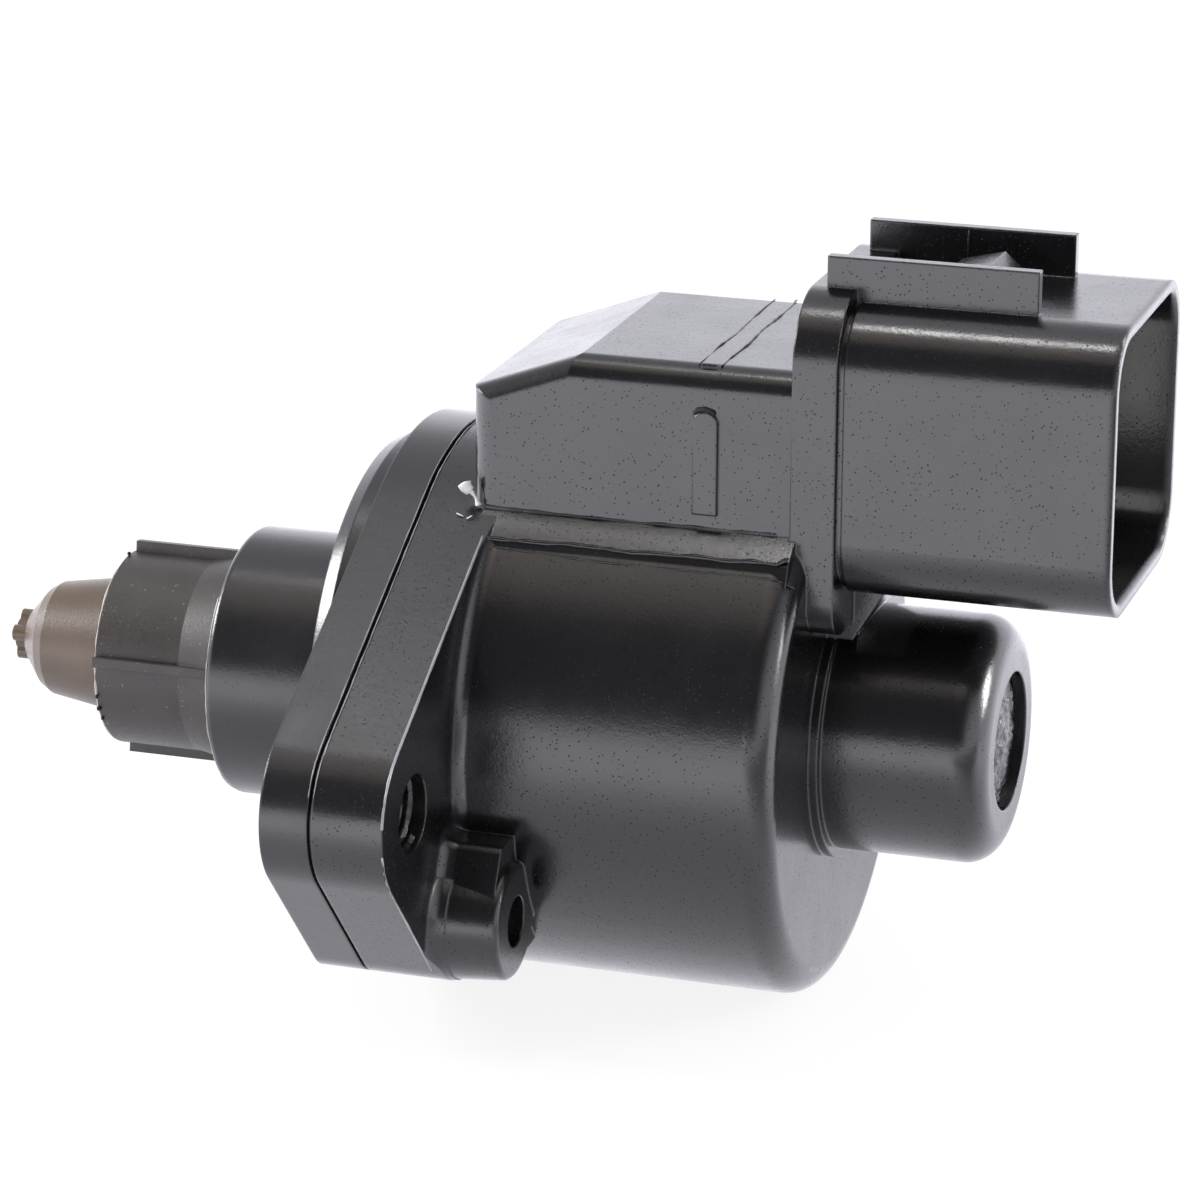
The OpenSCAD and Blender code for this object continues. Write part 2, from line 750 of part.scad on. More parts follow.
module plate_seal() {
    color("#3a2a24") turned()
        translate([(spigot_r + bore_r - seal_d) / 2, seal_x + seal_d / 2]) circle(seal_d / 2 - seat_gap);
}

module assembly_screws() {
    head_front = 0.2;
    slot_w = 0.7;
    slot_l = 3.2;
    color("#8c8f94") for (side = [-1, 1]) translate([0, side * tube_y, side * tube_z]) difference() {
        union() {
            rod(head_r, 0, 0, head_front, screw_seat);
            rod(tube_hole_d / 2 - 0.1, 0, 0, head_front + 1, flange_back + tube_len - screw_end_gap);
        }
        for (turn = [0, 90]) rotate([turn, 0, 0])
            translate([head_front - eps, -slot_l / 2, -slot_w / 2]) cube([1 + eps, slot_l, slot_w]);
    }
}

module pintle() {
    cone_small_r = pintle_r - (pintle_out - nose_len) * tan(pintle_angle);
    skirt_r = sleeve_bore_r - 0.3;
    lobe_at = tip_r - lobe_r;
    color("#82705f") difference() {
        union() {
            turned() polygon([
                [0, cone_front],
                [nose_r, cone_front],
                [cone_small_r - 0.55, cone_front + nose_len - 0.9],
                [cone_small_r, cone_front + nose_len],
                [pintle_r, sleeve_front],
                [skirt_r, sleeve_front + 1.6],
                [skirt_r, skirt_back],
                [0, skirt_back]
            ]);
            for (i = [0 : 3])
                rotate([-lobe_turn - i * 90, 0, 0])
                    rod(lobe_r, 0, lobe_at, cone_front - tip_len, cone_front + eps);
            disc(lobe_at, cone_front - tip_len, cone_front + eps);
        }
        disc(spindle_r, spindle_front, skirt_back + eps);
    }
}

module lead_screw() {
    color("#9ea1a6") {
        disc(spindle_r, spindle_front, flats_front);
        along_x(flats_front, flats_back) flatted_outline(spindle_r, flat_half);
        disc(spindle_r, flats_back, spindle_back);
    }
}

module rotor_hub() {
    color("#d9d5c5") difference() {
        union() {
            disc(bearing_bore_r, front_bearing_x, rear_bearing_back);
            disc(hub_r, plate_t, rear_bearing_x);
        }
        disc(spindle_r + run_gap, front_bearing_x - eps, rear_bearing_back + eps);
        disc(hub_bore_r, front_bearing_x - eps, nut_front);
        disc(hub_bore_r, nut_front + nut_len, rear_bearing_back + eps);
    }
}

module rotor_magnet() {
    color("#4a4a4d") ring(hub_r, magnet_r, stator_mid - magnet_len / 2, stator_mid + magnet_len / 2);
}

// The two rings of a ball bearing and its balls, from x0 on
module bearing_ring(r_in, r_out, x0) {
    color("#c9ccd0") difference() {
        ring(r_in, r_out, x0, x0 + bearing_w);
        turned() translate([bearing_mid_r, x0 + bearing_w / 2]) circle(ball_r + ball_gap);
    }
}

module bearing_inner(x0) {
    bearing_ring(bearing_bore_r, bearing_mid_r - ring_gap, x0);
}

module bearing_outer(x0) {
    bearing_ring(bearing_mid_r + ring_gap, bearing_r, x0);
}

module bearing_balls(x0) {
    color("#e3e5e8") for (i = [0 : ball_count - 1])
        rotate([i * 360 / ball_count, 0, 0])
            translate([x0 + bearing_w / 2, 0, bearing_mid_r]) sphere(ball_r);
}

module front_bearing_inner_ring() {
    bearing_inner(front_bearing_x);
}

module front_bearing_outer_ring() {
    bearing_outer(front_bearing_x);
}

module front_bearing_balls() {
    bearing_balls(front_bearing_x);
}

module rear_bearing_inner_ring() {
    bearing_inner(rear_bearing_x);
}

module rear_bearing_outer_ring() {
    bearing_outer(rear_bearing_x);
}

module rear_bearing_balls() {
    bearing_balls(rear_bearing_x);
}

// The washer that pushes the rear bearing forward, as a shallow dished ring
module wave_washer() {
    rim = 0.25;
    color("#a9adb2") turned() polygon([
        [bearing_r - 0.1, rear_bearing_back],
        [bearing_r - 0.1, rear_bearing_back + rim],
        [bearing_mid_r + ring_gap, pocket_back],
        [bearing_mid_r + ring_gap - rim, pocket_back],
        [bearing_mid_r + ring_gap - rim, pocket_back - rim],
        [bearing_r - 0.5, rear_bearing_back]
    ]);
}

// Claws of a pole piece, with their roots at root_x and their tips towards dir
module claws(root_x, dir, turn) {
    claw_len = (cavity_back - stator_front) / 2 - 2 * sheet_t - 0.4;
    claw_x = dir > 0 ? root_x : root_x - claw_len;
    root_half = 360 / claw_count / 4 * 0.9;
    for (i = [0 : claw_count - 1]) rotate([turn + i * 360 / claw_count, 0, 0])
        intersection() {
            ring(pole_r, pole_r + claw_t, claw_x, claw_x + claw_len);
            linear_extrude(pole_r + claw_t + 1)
                polygon([
                    [root_x, -pole_r * sin(root_half)],
                    [root_x + dir * claw_len, -pole_r * sin(root_half) / 2],
                    [root_x + dir * claw_len, pole_r * sin(root_half) / 2],
                    [root_x, pole_r * sin(root_half)]
                ]);
        }
}

// A cup closes one end of the stator: end disc, yoke and claws towards dir
module pole_cup(end_x, dir, block_x) {
    disc_inner = min(end_x, end_x + dir * sheet_t);
    color("#9a9da3") {
        difference() {
            union() {
                ring(pole_r, yoke_r, disc_inner, disc_inner + sheet_t);
                ring(yoke_r - sheet_t, yoke_r, min(end_x, stator_mid), max(end_x, stator_mid));
            }
            translate([block_x - block_gap, -block_half - block_gap, 0])
                cube([block_w + 2 * block_gap, 2 * (block_half + block_gap), body_r]);
        }
        claws(end_x + dir * sheet_t / 2, dir, 0);
    }
}

// A flat pole piece beside the stator's middle, with claws back towards dir
module pole_plate(dir) {
    color("#9a9da3") {
        ring(pole_r, yoke_r - sheet_t - 0.05, min(stator_mid, stator_mid + dir * sheet_t),
            max(stator_mid, stator_mid + dir * sheet_t));
        claws(stator_mid + dir * sheet_t / 2, dir, 180 / claw_count);
    }
}

module front_pole_cup() {
    pole_cup(stator_front, 1, upper_block_x);
}

module front_pole_plate() {
    pole_plate(-1);
}

module rear_pole_plate() {
    pole_plate(1);
}

module rear_pole_cup() {
    pole_cup(cavity_back, -1, lower_block_x);
}

// A spool between x0 and x1 with its terminal block at block_x
module bobbin(x0, x1, block_x, leg_row) {
    color("#3d5a4a") difference() {
        union() {
            ring(bobbin_bore_r, coil_in_r, x0, x1);
            ring(bobbin_bore_r, bobbin_rim_r, x0, x0 + bobbin_t);
            ring(bobbin_bore_r, bobbin_rim_r, x1 - bobbin_t, x1);
            intersection() {
                ring(coil_out_r + 0.05, yoke_r - 0.05, block_x, block_x + block_w);
                translate([block_x, -block_half, 0]) cube([block_w, 2 * block_half, body_r]);
            }
        }
        for (i = [-1, 0, 1]) terminal_shape(i * pin_pitch, leg_row, block_x + block_w / 2);
    }
}

module front_bobbin() {
    bobbin(stator_front + sheet_t, stator_mid - sheet_t, upper_block_x, upper_row);
}

module rear_bobbin() {
    bobbin(stator_mid + sheet_t, cavity_back - sheet_t, lower_block_x, lower_row);
}

module coil(x0, x1) {
    color("#b06a3a") ring(coil_in_r, coil_out_r, x0 + bobbin_t, x1 - bobbin_t);
}

module front_coil() {
    coil(stator_front + sheet_t, stator_mid - sheet_t);
}

module rear_coil() {
    coil(stator_mid + sheet_t, cavity_back - sheet_t);
}

module upper_terminal(i) {
    color("#c8c3b0") terminal_shape(i * pin_pitch, upper_row, upper_block_x + block_w / 2);
}

module lower_terminal(i) {
    color("#c8c3b0") terminal_shape(i * pin_pitch, lower_row, lower_block_x + block_w / 2);
}

housing();
front_plate();
guide_sleeve();
guide_bush();
plate_seal();
assembly_screws();
pintle();
lead_screw();
rotor_hub();
rotor_magnet();
front_bearing_inner_ring();
front_bearing_balls();
front_bearing_outer_ring();
rear_bearing_inner_ring();
rear_bearing_balls();
rear_bearing_outer_ring();
wave_washer();
front_pole_cup();
front_pole_plate();
rear_pole_plate();
rear_pole_cup();
front_bobbin();
rear_bobbin();
front_coil();
rear_coil();
upper_terminal(-1);  // upper_terminal_near
upper_terminal(0);  // upper_terminal_middle
upper_terminal(1);  // upper_terminal_far
lower_terminal(-1);  // lower_terminal_near
lower_terminal(0);  // lower_terminal_middle
lower_terminal(1);  // lower_terminal_far
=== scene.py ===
"""Dresses an idle air control valve in its materials and small moulded details, and sets up the studio."""

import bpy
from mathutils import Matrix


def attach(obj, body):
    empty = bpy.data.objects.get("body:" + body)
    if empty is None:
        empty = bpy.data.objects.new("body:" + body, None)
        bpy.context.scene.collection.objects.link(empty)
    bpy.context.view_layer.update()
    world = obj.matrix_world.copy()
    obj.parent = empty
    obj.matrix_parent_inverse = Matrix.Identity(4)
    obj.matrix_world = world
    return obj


bl_info = {
    "name": "Idle Air Control Valve",
    "version": (1, 0, 0),
    "blender": (4, 5, 0),
    "location": "3D View > Sidebar > Valve",
    "description": "Finishes, fine details and studio for an idle air control valve",
    "category": "Object",
}

import math

import bmesh
import bpy
from bpy.props import FloatProperty, FloatVectorProperty, IntProperty, PointerProperty
from mathutils import Matrix, Vector, noise

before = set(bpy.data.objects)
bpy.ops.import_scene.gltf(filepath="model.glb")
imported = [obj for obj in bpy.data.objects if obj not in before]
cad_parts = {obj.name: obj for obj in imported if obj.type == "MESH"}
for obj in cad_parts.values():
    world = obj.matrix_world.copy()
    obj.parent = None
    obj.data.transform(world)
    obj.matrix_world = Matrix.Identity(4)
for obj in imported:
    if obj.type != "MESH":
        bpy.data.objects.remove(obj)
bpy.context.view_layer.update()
BODY = "valve_body"
MM = 0.001

# Edge radius of the flash, and the distance in millimetres between the points of a ragged bead
FLASH_EDGE = 0.02 * MM
COARSE = 0.22
FINE = 0.12


def linear(code):
    """Turns an sRGB hex value into linear red, green and blue."""
    parts = [int(code[i : i + 2], 16) / 255 for i in (1, 3, 5)]
    return tuple(c / 12.92 if c <= 0.04045 else ((c + 0.055) / 1.055) ** 2.4 for c in parts)


# Settings


class ValveFinish(bpy.types.PropertyGroup):
    """Colours of the valve's plastics, and the roundings of its edges"""

    housing: FloatVectorProperty(
        name="Housing", description="Black glass-filled nylon of the housing",
        subtype="COLOR", size=3, min=0, max=1, default=linear("#101012"),
    )
    plate: FloatVectorProperty(
        name="Front plate", description="Black glass-filled nylon of the front plate",
        subtype="COLOR", size=3, min=0, max=1, default=linear("#131316"),
    )
    sleeve: FloatVectorProperty(
        name="Guide sleeve", description="Matte black acetal of the guide sleeve",
        subtype="COLOR", size=3, min=0, max=1, default=linear("#27221F"),
    )
    pintle: FloatVectorProperty(
        name="Pintle", description="Brown resin of the pintle",
        subtype="COLOR", size=3, min=0, max=1, default=linear("#493B2D"),
    )
    edge_round: FloatProperty(
        name="Edge rounding", description="Radius that the mould leaves on sharp edges",
        default=0.26 * MM, min=0.05 * MM, max=1 * MM, unit="LENGTH", precision=5,
    )
    lip_round: FloatProperty(
        name="Lip rounding", description="Radius on the lip of the plug shroud",
        default=0.9 * MM, min=0.05 * MM, max=1 * MM, unit="LENGTH", precision=5,
    )
    lip_start: FloatProperty(
        name="Lip start", description="Place along the valve axis behind which edges count as the lip",
        default=59.0 * MM, min=0, max=0.1, unit="LENGTH", precision=5,
    )


class ValveDetails(bpy.types.PropertyGroup):
    """Sizes of the small details"""

    screw_pitch: FloatProperty(
        name="Ear distance", description="Distance from the valve axis to an ear's hole",
        default=31.5 * MM, min=29 * MM, max=34 * MM, unit="LENGTH", precision=5,
    )
    thread_radius: FloatProperty(
        name="Thread radius", description="Radius of the hole that the ear's thread lines",
        default=3.2 * MM, min=3 * MM, max=3.4 * MM, unit="LENGTH", precision=5,
    )
    thread_pitch: FloatProperty(
        name="Thread pitch", description="Pitch of the thread inside the ears' holes",
        default=0.75 * MM, min=0.5 * MM, max=1.5 * MM, unit="LENGTH", precision=5,
    )
    thread_depth: FloatProperty(
        name="Thread depth", description="Height of the thread inside the ears' holes",
        default=0.3 * MM, min=0.2 * MM, max=0.6 * MM, unit="LENGTH", precision=5,
    )
    thread_steps: IntProperty(
        name="Steps per turn", description="Facets in one turn of a thread",
        default=48, min=12, max=64,
    )
    flash_width: FloatProperty(
        name="Flash width", description="Width of a strong ridge of moulding flash",
        default=0.5 * MM, min=0.1 * MM, max=0.8 * MM, unit="LENGTH", precision=5,
    )
    flash_wander: FloatProperty(
        name="Flash wander", description="How far a ridge of flash strays from its line",
        default=0.14 * MM, min=0, max=0.3 * MM, unit="LENGTH", precision=5,
    )


class ValveStudio(bpy.types.PropertyGroup):
    """Camera and floor"""

    azimuth: FloatProperty(
        name="Azimuth", description="Turn of the camera around the valve",
        default=math.radians(17.799), subtype="ANGLE",
    )
    elevation: FloatProperty(
        name="Elevation", description="Angle of the camera above the horizon",
        default=math.radians(17.816), subtype="ANGLE",
    )
    roll: FloatProperty(
        name="Roll", description="Tilt of the camera about its own axis",
        default=math.radians(0.28), subtype="ANGLE",
    )
    look_at: FloatVectorProperty(
        name="Look at", description="Point in the middle of the picture",
        default=(15.129 * MM, 0, 8.394 * MM), subtype="TRANSLATION", unit="LENGTH", size=3, precision=5,
    )
    distance: FloatProperty(
        name="Distance", description="Distance from the camera to the point it looks at",
        default=395.42 * MM, min=0.1, max=2, unit="LENGTH",
    )
    lens: FloatProperty(
        name="Lens", description="Focal length in millimetres on a 36 mm wide sensor",
        default=143.568, min=50, max=300,
    )
    floor_drop: FloatProperty(
        name="Floor", description="Height of the floor below the valve axis",
        default=23.2 * MM, min=22 * MM, max=0.2, unit="LENGTH",
    )


# Node and mesh helpers


def add(tree, kind, inputs=None, **settings):
    """Adds one node with its settings, its values and its links."""
    made = tree.nodes.new(kind)
    for name, value in settings.items():
        setattr(made, name, value)
    for name, value in (inputs or {}).items():
        if isinstance(value, bpy.types.NodeSocket):
            tree.links.new(value, made.inputs[name])
        else:
            made.inputs[name].default_value = value
    return made


def new_material(name):
    """Starts a material and returns it with its tree and its Principled shader."""
    material = bpy.data.materials.new(name)
    material.use_nodes = True
    tree = material.node_tree
    return material, tree, tree.nodes["Principled BSDF"]


def wire(tree, shader, sockets):
    """Links values to the shader."""
    for name, value in sockets.items():
        tree.links.new(value, shader.inputs[name])


def shade(colour, factor):
    """A colour made darker or lighter, with full alpha."""
    return (*[min(c * factor, 1) for c in colour], 1)


def place(mesh, name, material, body=BODY):
    """Makes an object of a bmesh, with its normals outwards, and lets it ride on a body."""
    bmesh.ops.recalc_face_normals(mesh, faces=mesh.faces)
    data = bpy.data.meshes.new(name)
    mesh.to_mesh(data)
    mesh.free()
    piece = bpy.data.objects.new(name, data)
    bpy.context.scene.collection.objects.link(piece)
    data.materials.append(material)
    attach(piece, body)
    return piece


def finish_nodes(material, *names):
    """Gives CAD nodes a material."""
    for name in names:
        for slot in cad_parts[name].material_slots:
            slot.material = material


# Materials. A pattern's scale is its number of cells in a millimetre, over MM.


def glass_filled_nylon(name, colour, edge, gloss=0.21, pits=1.0, lip=None):
    """Glass-filled nylon, injection moulded and semigloss: a cloudy sheen with fine dark fibre pits."""
    material, tree, shader = new_material(name)
    where = add(tree, "ShaderNodeTexCoord").outputs["Object"]
    # Edges further back than the lip's start are rounder; without a lip, all edges are alike
    along = add(tree, "ShaderNodeSeparateXYZ", {0: where})
    lip_start, lip_round = lip or (1.0, edge)
    radius = add(tree, "ShaderNodeMapRange", {"Value": along.outputs["X"],
                                              "From Min": lip_start, "From Max": lip_start + 0.1 * MM,
                                              "To Min": edge, "To Max": lip_round})
    rounded = add(tree, "ShaderNodeBevel", {"Radius": radius.outputs["Result"]}, samples=8)
    # Flow clouds, 6 mm across, which shift the gloss and the tint
    clouds = add(tree, "ShaderNodeTexNoise", {"Vector": where, "Scale": 0.16 / MM, "Detail": 4,
                                              "Roughness": 0.6})
    # Fibre pits, up to 0.2 mm wide and about 0.4 mm apart, wider in some places than in others
    cells = add(tree, "ShaderNodeTexVoronoi", {"Vector": where, "Scale": 2.4 / MM, "Randomness": 1.0})
    some = add(tree, "ShaderNodeTexNoise", {"Vector": where, "Scale": 1.1 / MM, "Detail": 3,
                                            "Roughness": 0.7})
    reach = add(tree, "ShaderNodeMapRange", {"Value": some.outputs["Fac"], "From Min": 0.3, "From Max": 0.62,
                                             "To Min": 0.1 * pits, "To Max": 0.2 * pits})
    pit = add(tree, "ShaderNodeMath", {0: cells.outputs["Distance"], 1: reach.outputs["Result"]},
              operation="LESS_THAN")
    # The clouds are a little warmer than the rest, and a pit is darker
    warmer = (*[c * k for c, k in zip(colour, (1.2, 1.05, 1.0))], 1)
    tint = add(tree, "ShaderNodeMix", {"Factor": clouds.outputs["Fac"], "A": shade(colour, 1), "B": warmer},
               data_type="RGBA")
    base = add(tree, "ShaderNodeMix", {"Factor": pit.outputs[0], "A": tint.outputs["Result"],
                                       "B": shade(colour, 0.6)}, data_type="RGBA")
    # A pit is rougher than the skin around it, and reflects less
    rough = add(tree, "ShaderNodeMapRange", {"Value": clouds.outputs["Fac"], "From Min": 0.3, "From Max": 0.7,
                                             "To Min": gloss - 0.03, "To Max": gloss + 0.05})
    rough_pit = add(tree, "ShaderNodeMath", {0: pit.outputs[0], 1: 0.12, 2: rough.outputs["Result"]},
                    operation="MULTIPLY_ADD")
    shine = add(tree, "ShaderNodeMath", {0: pit.outputs[0], 1: -0.26, 2: 0.5}, operation="MULTIPLY_ADD")
    # Moulded grain, 0.2 mm across, on slow waves, 0.7 mm across, from the polish of the mould
    grain = add(tree, "ShaderNodeTexNoise", {"Vector": where, "Scale": 5 / MM, "Detail": 2})
    waves = add(tree, "ShaderNodeTexNoise", {"Vector": where, "Scale": 1.4 / MM, "Detail": 1})
    skin = add(tree, "ShaderNodeMath", {0: waves.outputs["Fac"], 1: 0.8, 2: grain.outputs["Fac"]},
               operation="MULTIPLY_ADD")
    height = add(tree, "ShaderNodeMath", {0: pit.outputs[0], 1: -1.0, 2: skin.outputs[0]},
                 operation="MULTIPLY_ADD")
    bump = add(tree, "ShaderNodeBump", {"Height": height.outputs[0], "Distance": 0.018 * MM, "Strength": 0.5,
                                        "Normal": rounded.outputs["Normal"]})
    wire(tree, shader, {"Base Color": base.outputs["Result"], "Roughness": rough_pit.outputs[0],
                        "Specular IOR Level": shine.outputs[0], "Normal": bump.outputs["Normal"]})
    shader.inputs["IOR"].default_value = 1.53
    return material


def satin_plastic(name, colour, rough, edge, grain_mm=0.3, spread=0.25, specks=None):
    """Plain moulded or machined plastic with a fine even grain, and specks of another colour if given."""
    material, tree, shader = new_material(name)
    where = add(tree, "ShaderNodeTexCoord").outputs["Object"]
    grain = add(tree, "ShaderNodeTexNoise", {"Vector": where, "Scale": 1 / (grain_mm * MM), "Detail": 3})
    # Patches of a lighter and a darker tint, 3 mm across
    patches = add(tree, "ShaderNodeTexNoise", {"Vector": where, "Scale": 0.32 / MM, "Detail": 2})
    base = add(tree, "ShaderNodeMix", {"Factor": patches.outputs["Fac"], "A": shade(colour, 1 - spread),
                                       "B": shade(colour, 1 + spread)}, data_type="RGBA")
    if specks:
        # Specks up to 0.2 mm wide, a few in each square millimetre
        cells = add(tree, "ShaderNodeTexVoronoi", {"Vector": where, "Scale": 2.5 / MM, "Randomness": 1.0})
        some = add(tree, "ShaderNodeTexNoise", {"Vector": where, "Scale": 1.3 / MM, "Detail": 2})
        reach = add(tree, "ShaderNodeMapRange", {"Value": some.outputs["Fac"], "From Min": 0.42,
                                                 "From Max": 0.75, "To Min": 0.0, "To Max": 0.28})
        speck = add(tree, "ShaderNodeMath", {0: cells.outputs["Distance"], 1: reach.outputs["Result"]},
                    operation="LESS_THAN")
        base = add(tree, "ShaderNodeMix", {"Factor": speck.outputs[0], "A": base.outputs["Result"],
                                           "B": shade(specks, 1)}, data_type="RGBA")
    sheen = add(tree, "ShaderNodeMapRange", {"Value": grain.outputs["Fac"], "From Min": 0.3, "From Max": 0.7,
                                             "To Min": rough - 0.06, "To Max": rough + 0.06})
    rounded = add(tree, "ShaderNodeBevel", {"Radius": edge}, samples=4)
    bump = add(tree, "ShaderNodeBump", {"Height": grain.outputs["Fac"], "Distance": 0.02 * MM,
                                        "Strength": 0.5, "Normal": rounded.outputs["Normal"]})
    wire(tree, shader, {"Base Color": base.outputs["Result"], "Roughness": sheen.outputs["Result"],
                        "Normal": bump.outputs["Normal"]})
    return material


def turned_metal(name, colour, rough, lines_mm=0.12):
    """Metal that was turned, drawn or ground: fine rings around the valve's axis."""
    material, tree, shader = new_material(name)
    where = add(tree, "ShaderNodeTexCoord").outputs["Object"]
    # The pattern is stretched across the axis, so it shows as rings
    along = add(tree, "ShaderNodeMapping", {"Vector": where, "Scale": (1, 0.02, 0.02)})
    lines = add(tree, "ShaderNodeTexNoise", {"Vector": along.outputs["Vector"], "Scale": 1 / (lines_mm * MM),
                                             "Detail": 2})
    base = add(tree, "ShaderNodeMix", {"Factor": lines.outputs["Fac"], "A": shade(colour, 0.85),
                                       "B": shade(colour, 1.12)}, data_type="RGBA")
    sheen = add(tree, "ShaderNodeMapRange", {"Value": lines.outputs["Fac"], "From Min": 0.3, "From Max": 0.7,
                                             "To Min": rough - 0.05, "To Max": rough + 0.08})
    bump = add(tree, "ShaderNodeBump", {"Height": lines.outputs["Fac"], "Distance": 0.004 * MM,
                                        "Strength": 0.4})
    wire(tree, shader, {"Base Color": base.outputs["Result"], "Roughness": sheen.outputs["Result"],
                        "Normal": bump.outputs["Normal"]})
    shader.inputs["Metallic"].default_value = 1
    return material


def enamelled_winding(name, colour, wire_mm=0.7):
    """Enamelled copper wire in close turns: round ridges, coarser than the real ones so that they show."""
    material, tree, shader = new_material(name)
    where = add(tree, "ShaderNodeTexCoord").outputs["Object"]
    # A band texture of scale 1 repeats every tau / 20
    repeat = math.tau / 20
    turns = add(tree, "ShaderNodeTexWave", {"Vector": where, "Scale": repeat / (wire_mm * MM),
                                            "Distortion": 0.4, "Detail": 1, "Detail Scale": 40},
                wave_type="BANDS", bands_direction="X", wave_profile="SIN")
    base = add(tree, "ShaderNodeMix", {"Factor": turns.outputs["Fac"], "A": shade(colour, 0.35),
                                       "B": shade(colour, 1)}, data_type="RGBA")
    bump = add(tree, "ShaderNodeBump", {"Height": turns.outputs["Fac"], "Distance": 0.1 * MM,
                                        "Strength": 0.8})
    wire(tree, shader, {"Base Color": base.outputs["Result"], "Normal": bump.outputs["Normal"]})
    shader.inputs["Metallic"].default_value = 0.6
    shader.inputs["Roughness"].default_value = 0.32
    return material


def flash_nylon(finish):
    """The housing's nylon where it crept into the mould's joints, thin and glossy. It is made only once."""
    name = "nylon_flash_glossy"
    return bpy.data.materials.get(name) or satin_plastic(name, tuple(finish.housing), 0.24, FLASH_EDGE)


def shadow_nylon():
    """Matte nylon darker than the skin: painted shade in the box's marks and beside the nose's rib, and the
    colour of the nose's crumbs. It is made only once.
    """
    name = "nylon_crumbs_and_painted_shade"
    return bpy.data.materials.get(name) or satin_plastic(name, linear("#060607"), 0.8, FLASH_EDGE)


# Shapes


def helix(radius, depth, pitch, start, end, steps, width=0.8):
    """A closed triangular ridge that winds along X, with its crest depth inside or outside the radius."""
    mesh = bmesh.new()
    half = pitch * width / 2
    ring = [mesh.verts.new((start + dx, 0, radius + dz)) for dx, dz in ((-half, 0), (half, 0), (0, depth))]
    edges = [mesh.edges.new((ring[i], ring[(i + 1) % 3])) for i in range(3)]
    turns = (end - start) / pitch
    count = round(turns * steps)
    bmesh.ops.spin(mesh, geom=ring + edges, cent=(0, 0, 0), axis=(1, 0, 0), dvec=(pitch / steps, 0, 0),
                   angle=turns * math.tau, steps=count, use_merge=False)
    bmesh.ops.holes_fill(mesh, edges=[e for e in mesh.edges if e.is_boundary], sides=3)
    return mesh


def bead(sizes, path, width, seed, wander=1.0, lumps=0.9, step=COARSE):
    """A ragged bead along a path in millimetres. Its width and its wander are shares of the flash's own."""
    # How fast the line strays along the path, for each millimetre, and how much faster its thickness changes
    drift = 0.35
    swell = 2.3
    points = [Vector(path[0])]
    for start, end in zip(path, path[1:]):
        leg = Vector(end) - Vector(start)
        count = max(1, round(leg.length / step))
        points += [Vector(start) + leg * (i + 1) / count for i in range(count)]
    curve = bpy.data.curves.new("bead", "CURVE")
    curve.dimensions = "3D"
    curve.bevel_depth = sizes.flash_width * width / 2
    curve.bevel_resolution = 2
    curve.use_fill_caps = True
    line = curve.splines.new("POLY")
    line.points.add(len(points) - 1)
    # Without this, noise_vector would stray differently in each run
    noise.seed_set(seed)
    for dot, place_mm in zip(line.points, points):
        spot = place_mm * drift + Vector((seed, 2 * seed, 3 * seed))
        stray = noise.noise_vector(spot) * (sizes.flash_wander * wander)
        dot.co = (*(place_mm * MM + stray), 1)
        dot.radius = max(0.15, 1 + lumps * noise.noise(spot * swell))
    line.points[0].radius = line.points[-1].radius = 0.1
    holder = bpy.data.objects.new("bead", curve)
    data = bpy.data.meshes.new_from_object(holder)
    mesh = bmesh.new()
    mesh.from_mesh(data)
    bpy.data.objects.remove(holder)
    bpy.data.curves.remove(curve)
    bpy.data.meshes.remove(data)
    bmesh.ops.remove_doubles(mesh, verts=mesh.verts, dist=0.0005 * MM)
    for face in mesh.faces:
        face.smooth = True
    return mesh


def join(meshes):
    """Puts several bmeshes into one."""
    whole = meshes[0]
    for other in meshes[1:]:
        data = bpy.data.meshes.new("joined")
        other.to_mesh(data)
        other.free()
        whole.from_mesh(data)
        bpy.data.meshes.remove(data)
    return whole


def arc(x, radius, turns, middle_y=0):
    """Points in millimetres around an axis along X. The turns are degrees from +Z towards +Y."""
    angles = [math.radians(turn) for turn in turns]
    return [(x, middle_y + radius * math.sin(a), radius * math.cos(a)) for a in angles]


def even_turns(start, end, count):
    """The turns of count equal steps from start to end."""
    return [start + (end - start) * i / count for i in range(count + 1)]


# Operators: one for each piece or group of like pieces, and one for the stage


class VALVE_OT_housing(bpy.types.Operator):
    """Finishes the moulded housing and the front plate"""

    bl_idname = "valve.housing"
    bl_label = "Housing and Front Plate"

    def execute(self, context):
        finish = context.scene.valve_finish
        edge = finish.edge_round
        # Black with a satin sheen, pits like pinpricks and rounder edges at the plug's mouth
        nylon = glass_filled_nylon("glass_filled_nylon_moulded_semigloss", tuple(finish.housing), edge,
                                   lip=(finish.lip_start, finish.lip_round))
        finish_nodes(nylon, "housing")
        # The plate comes from a smoother mould, which leaves smaller pits
        plate = glass_filled_nylon("glass_filled_nylon_moulded_glossy", tuple(finish.plate), edge,
                                   gloss=0.24, pits=0.6)
        finish_nodes(plate, "front_plate")
        return {"FINISHED"}


class VALVE_OT_nose(bpy.types.Operator):
    """Finishes the guide sleeve and the pintle"""

    bl_idname = "valve.nose"
    bl_label = "Guide Sleeve and Pintle"

    def execute(self, context):
        finish = context.scene.valve_finish
        edge = finish.edge_round / 2
        # Matte black with a few paler specks in its skin
        sleeve = satin_plastic("acetal_moulded_matte_black", tuple(finish.sleeve), rough=0.46, edge=edge,
                               grain_mm=0.22, spread=0.5, specks=linear("#5E574E"))
        finish_nodes(sleeve, "guide_sleeve")
        # Turned brown resin with a soft sheen
        pintle = satin_plastic("phenolic_resin_machined_brown", tuple(finish.pintle), rough=0.38, edge=edge,
                               grain_mm=0.2)
        finish_nodes(pintle, "pintle")
        return {"FINISHED"}


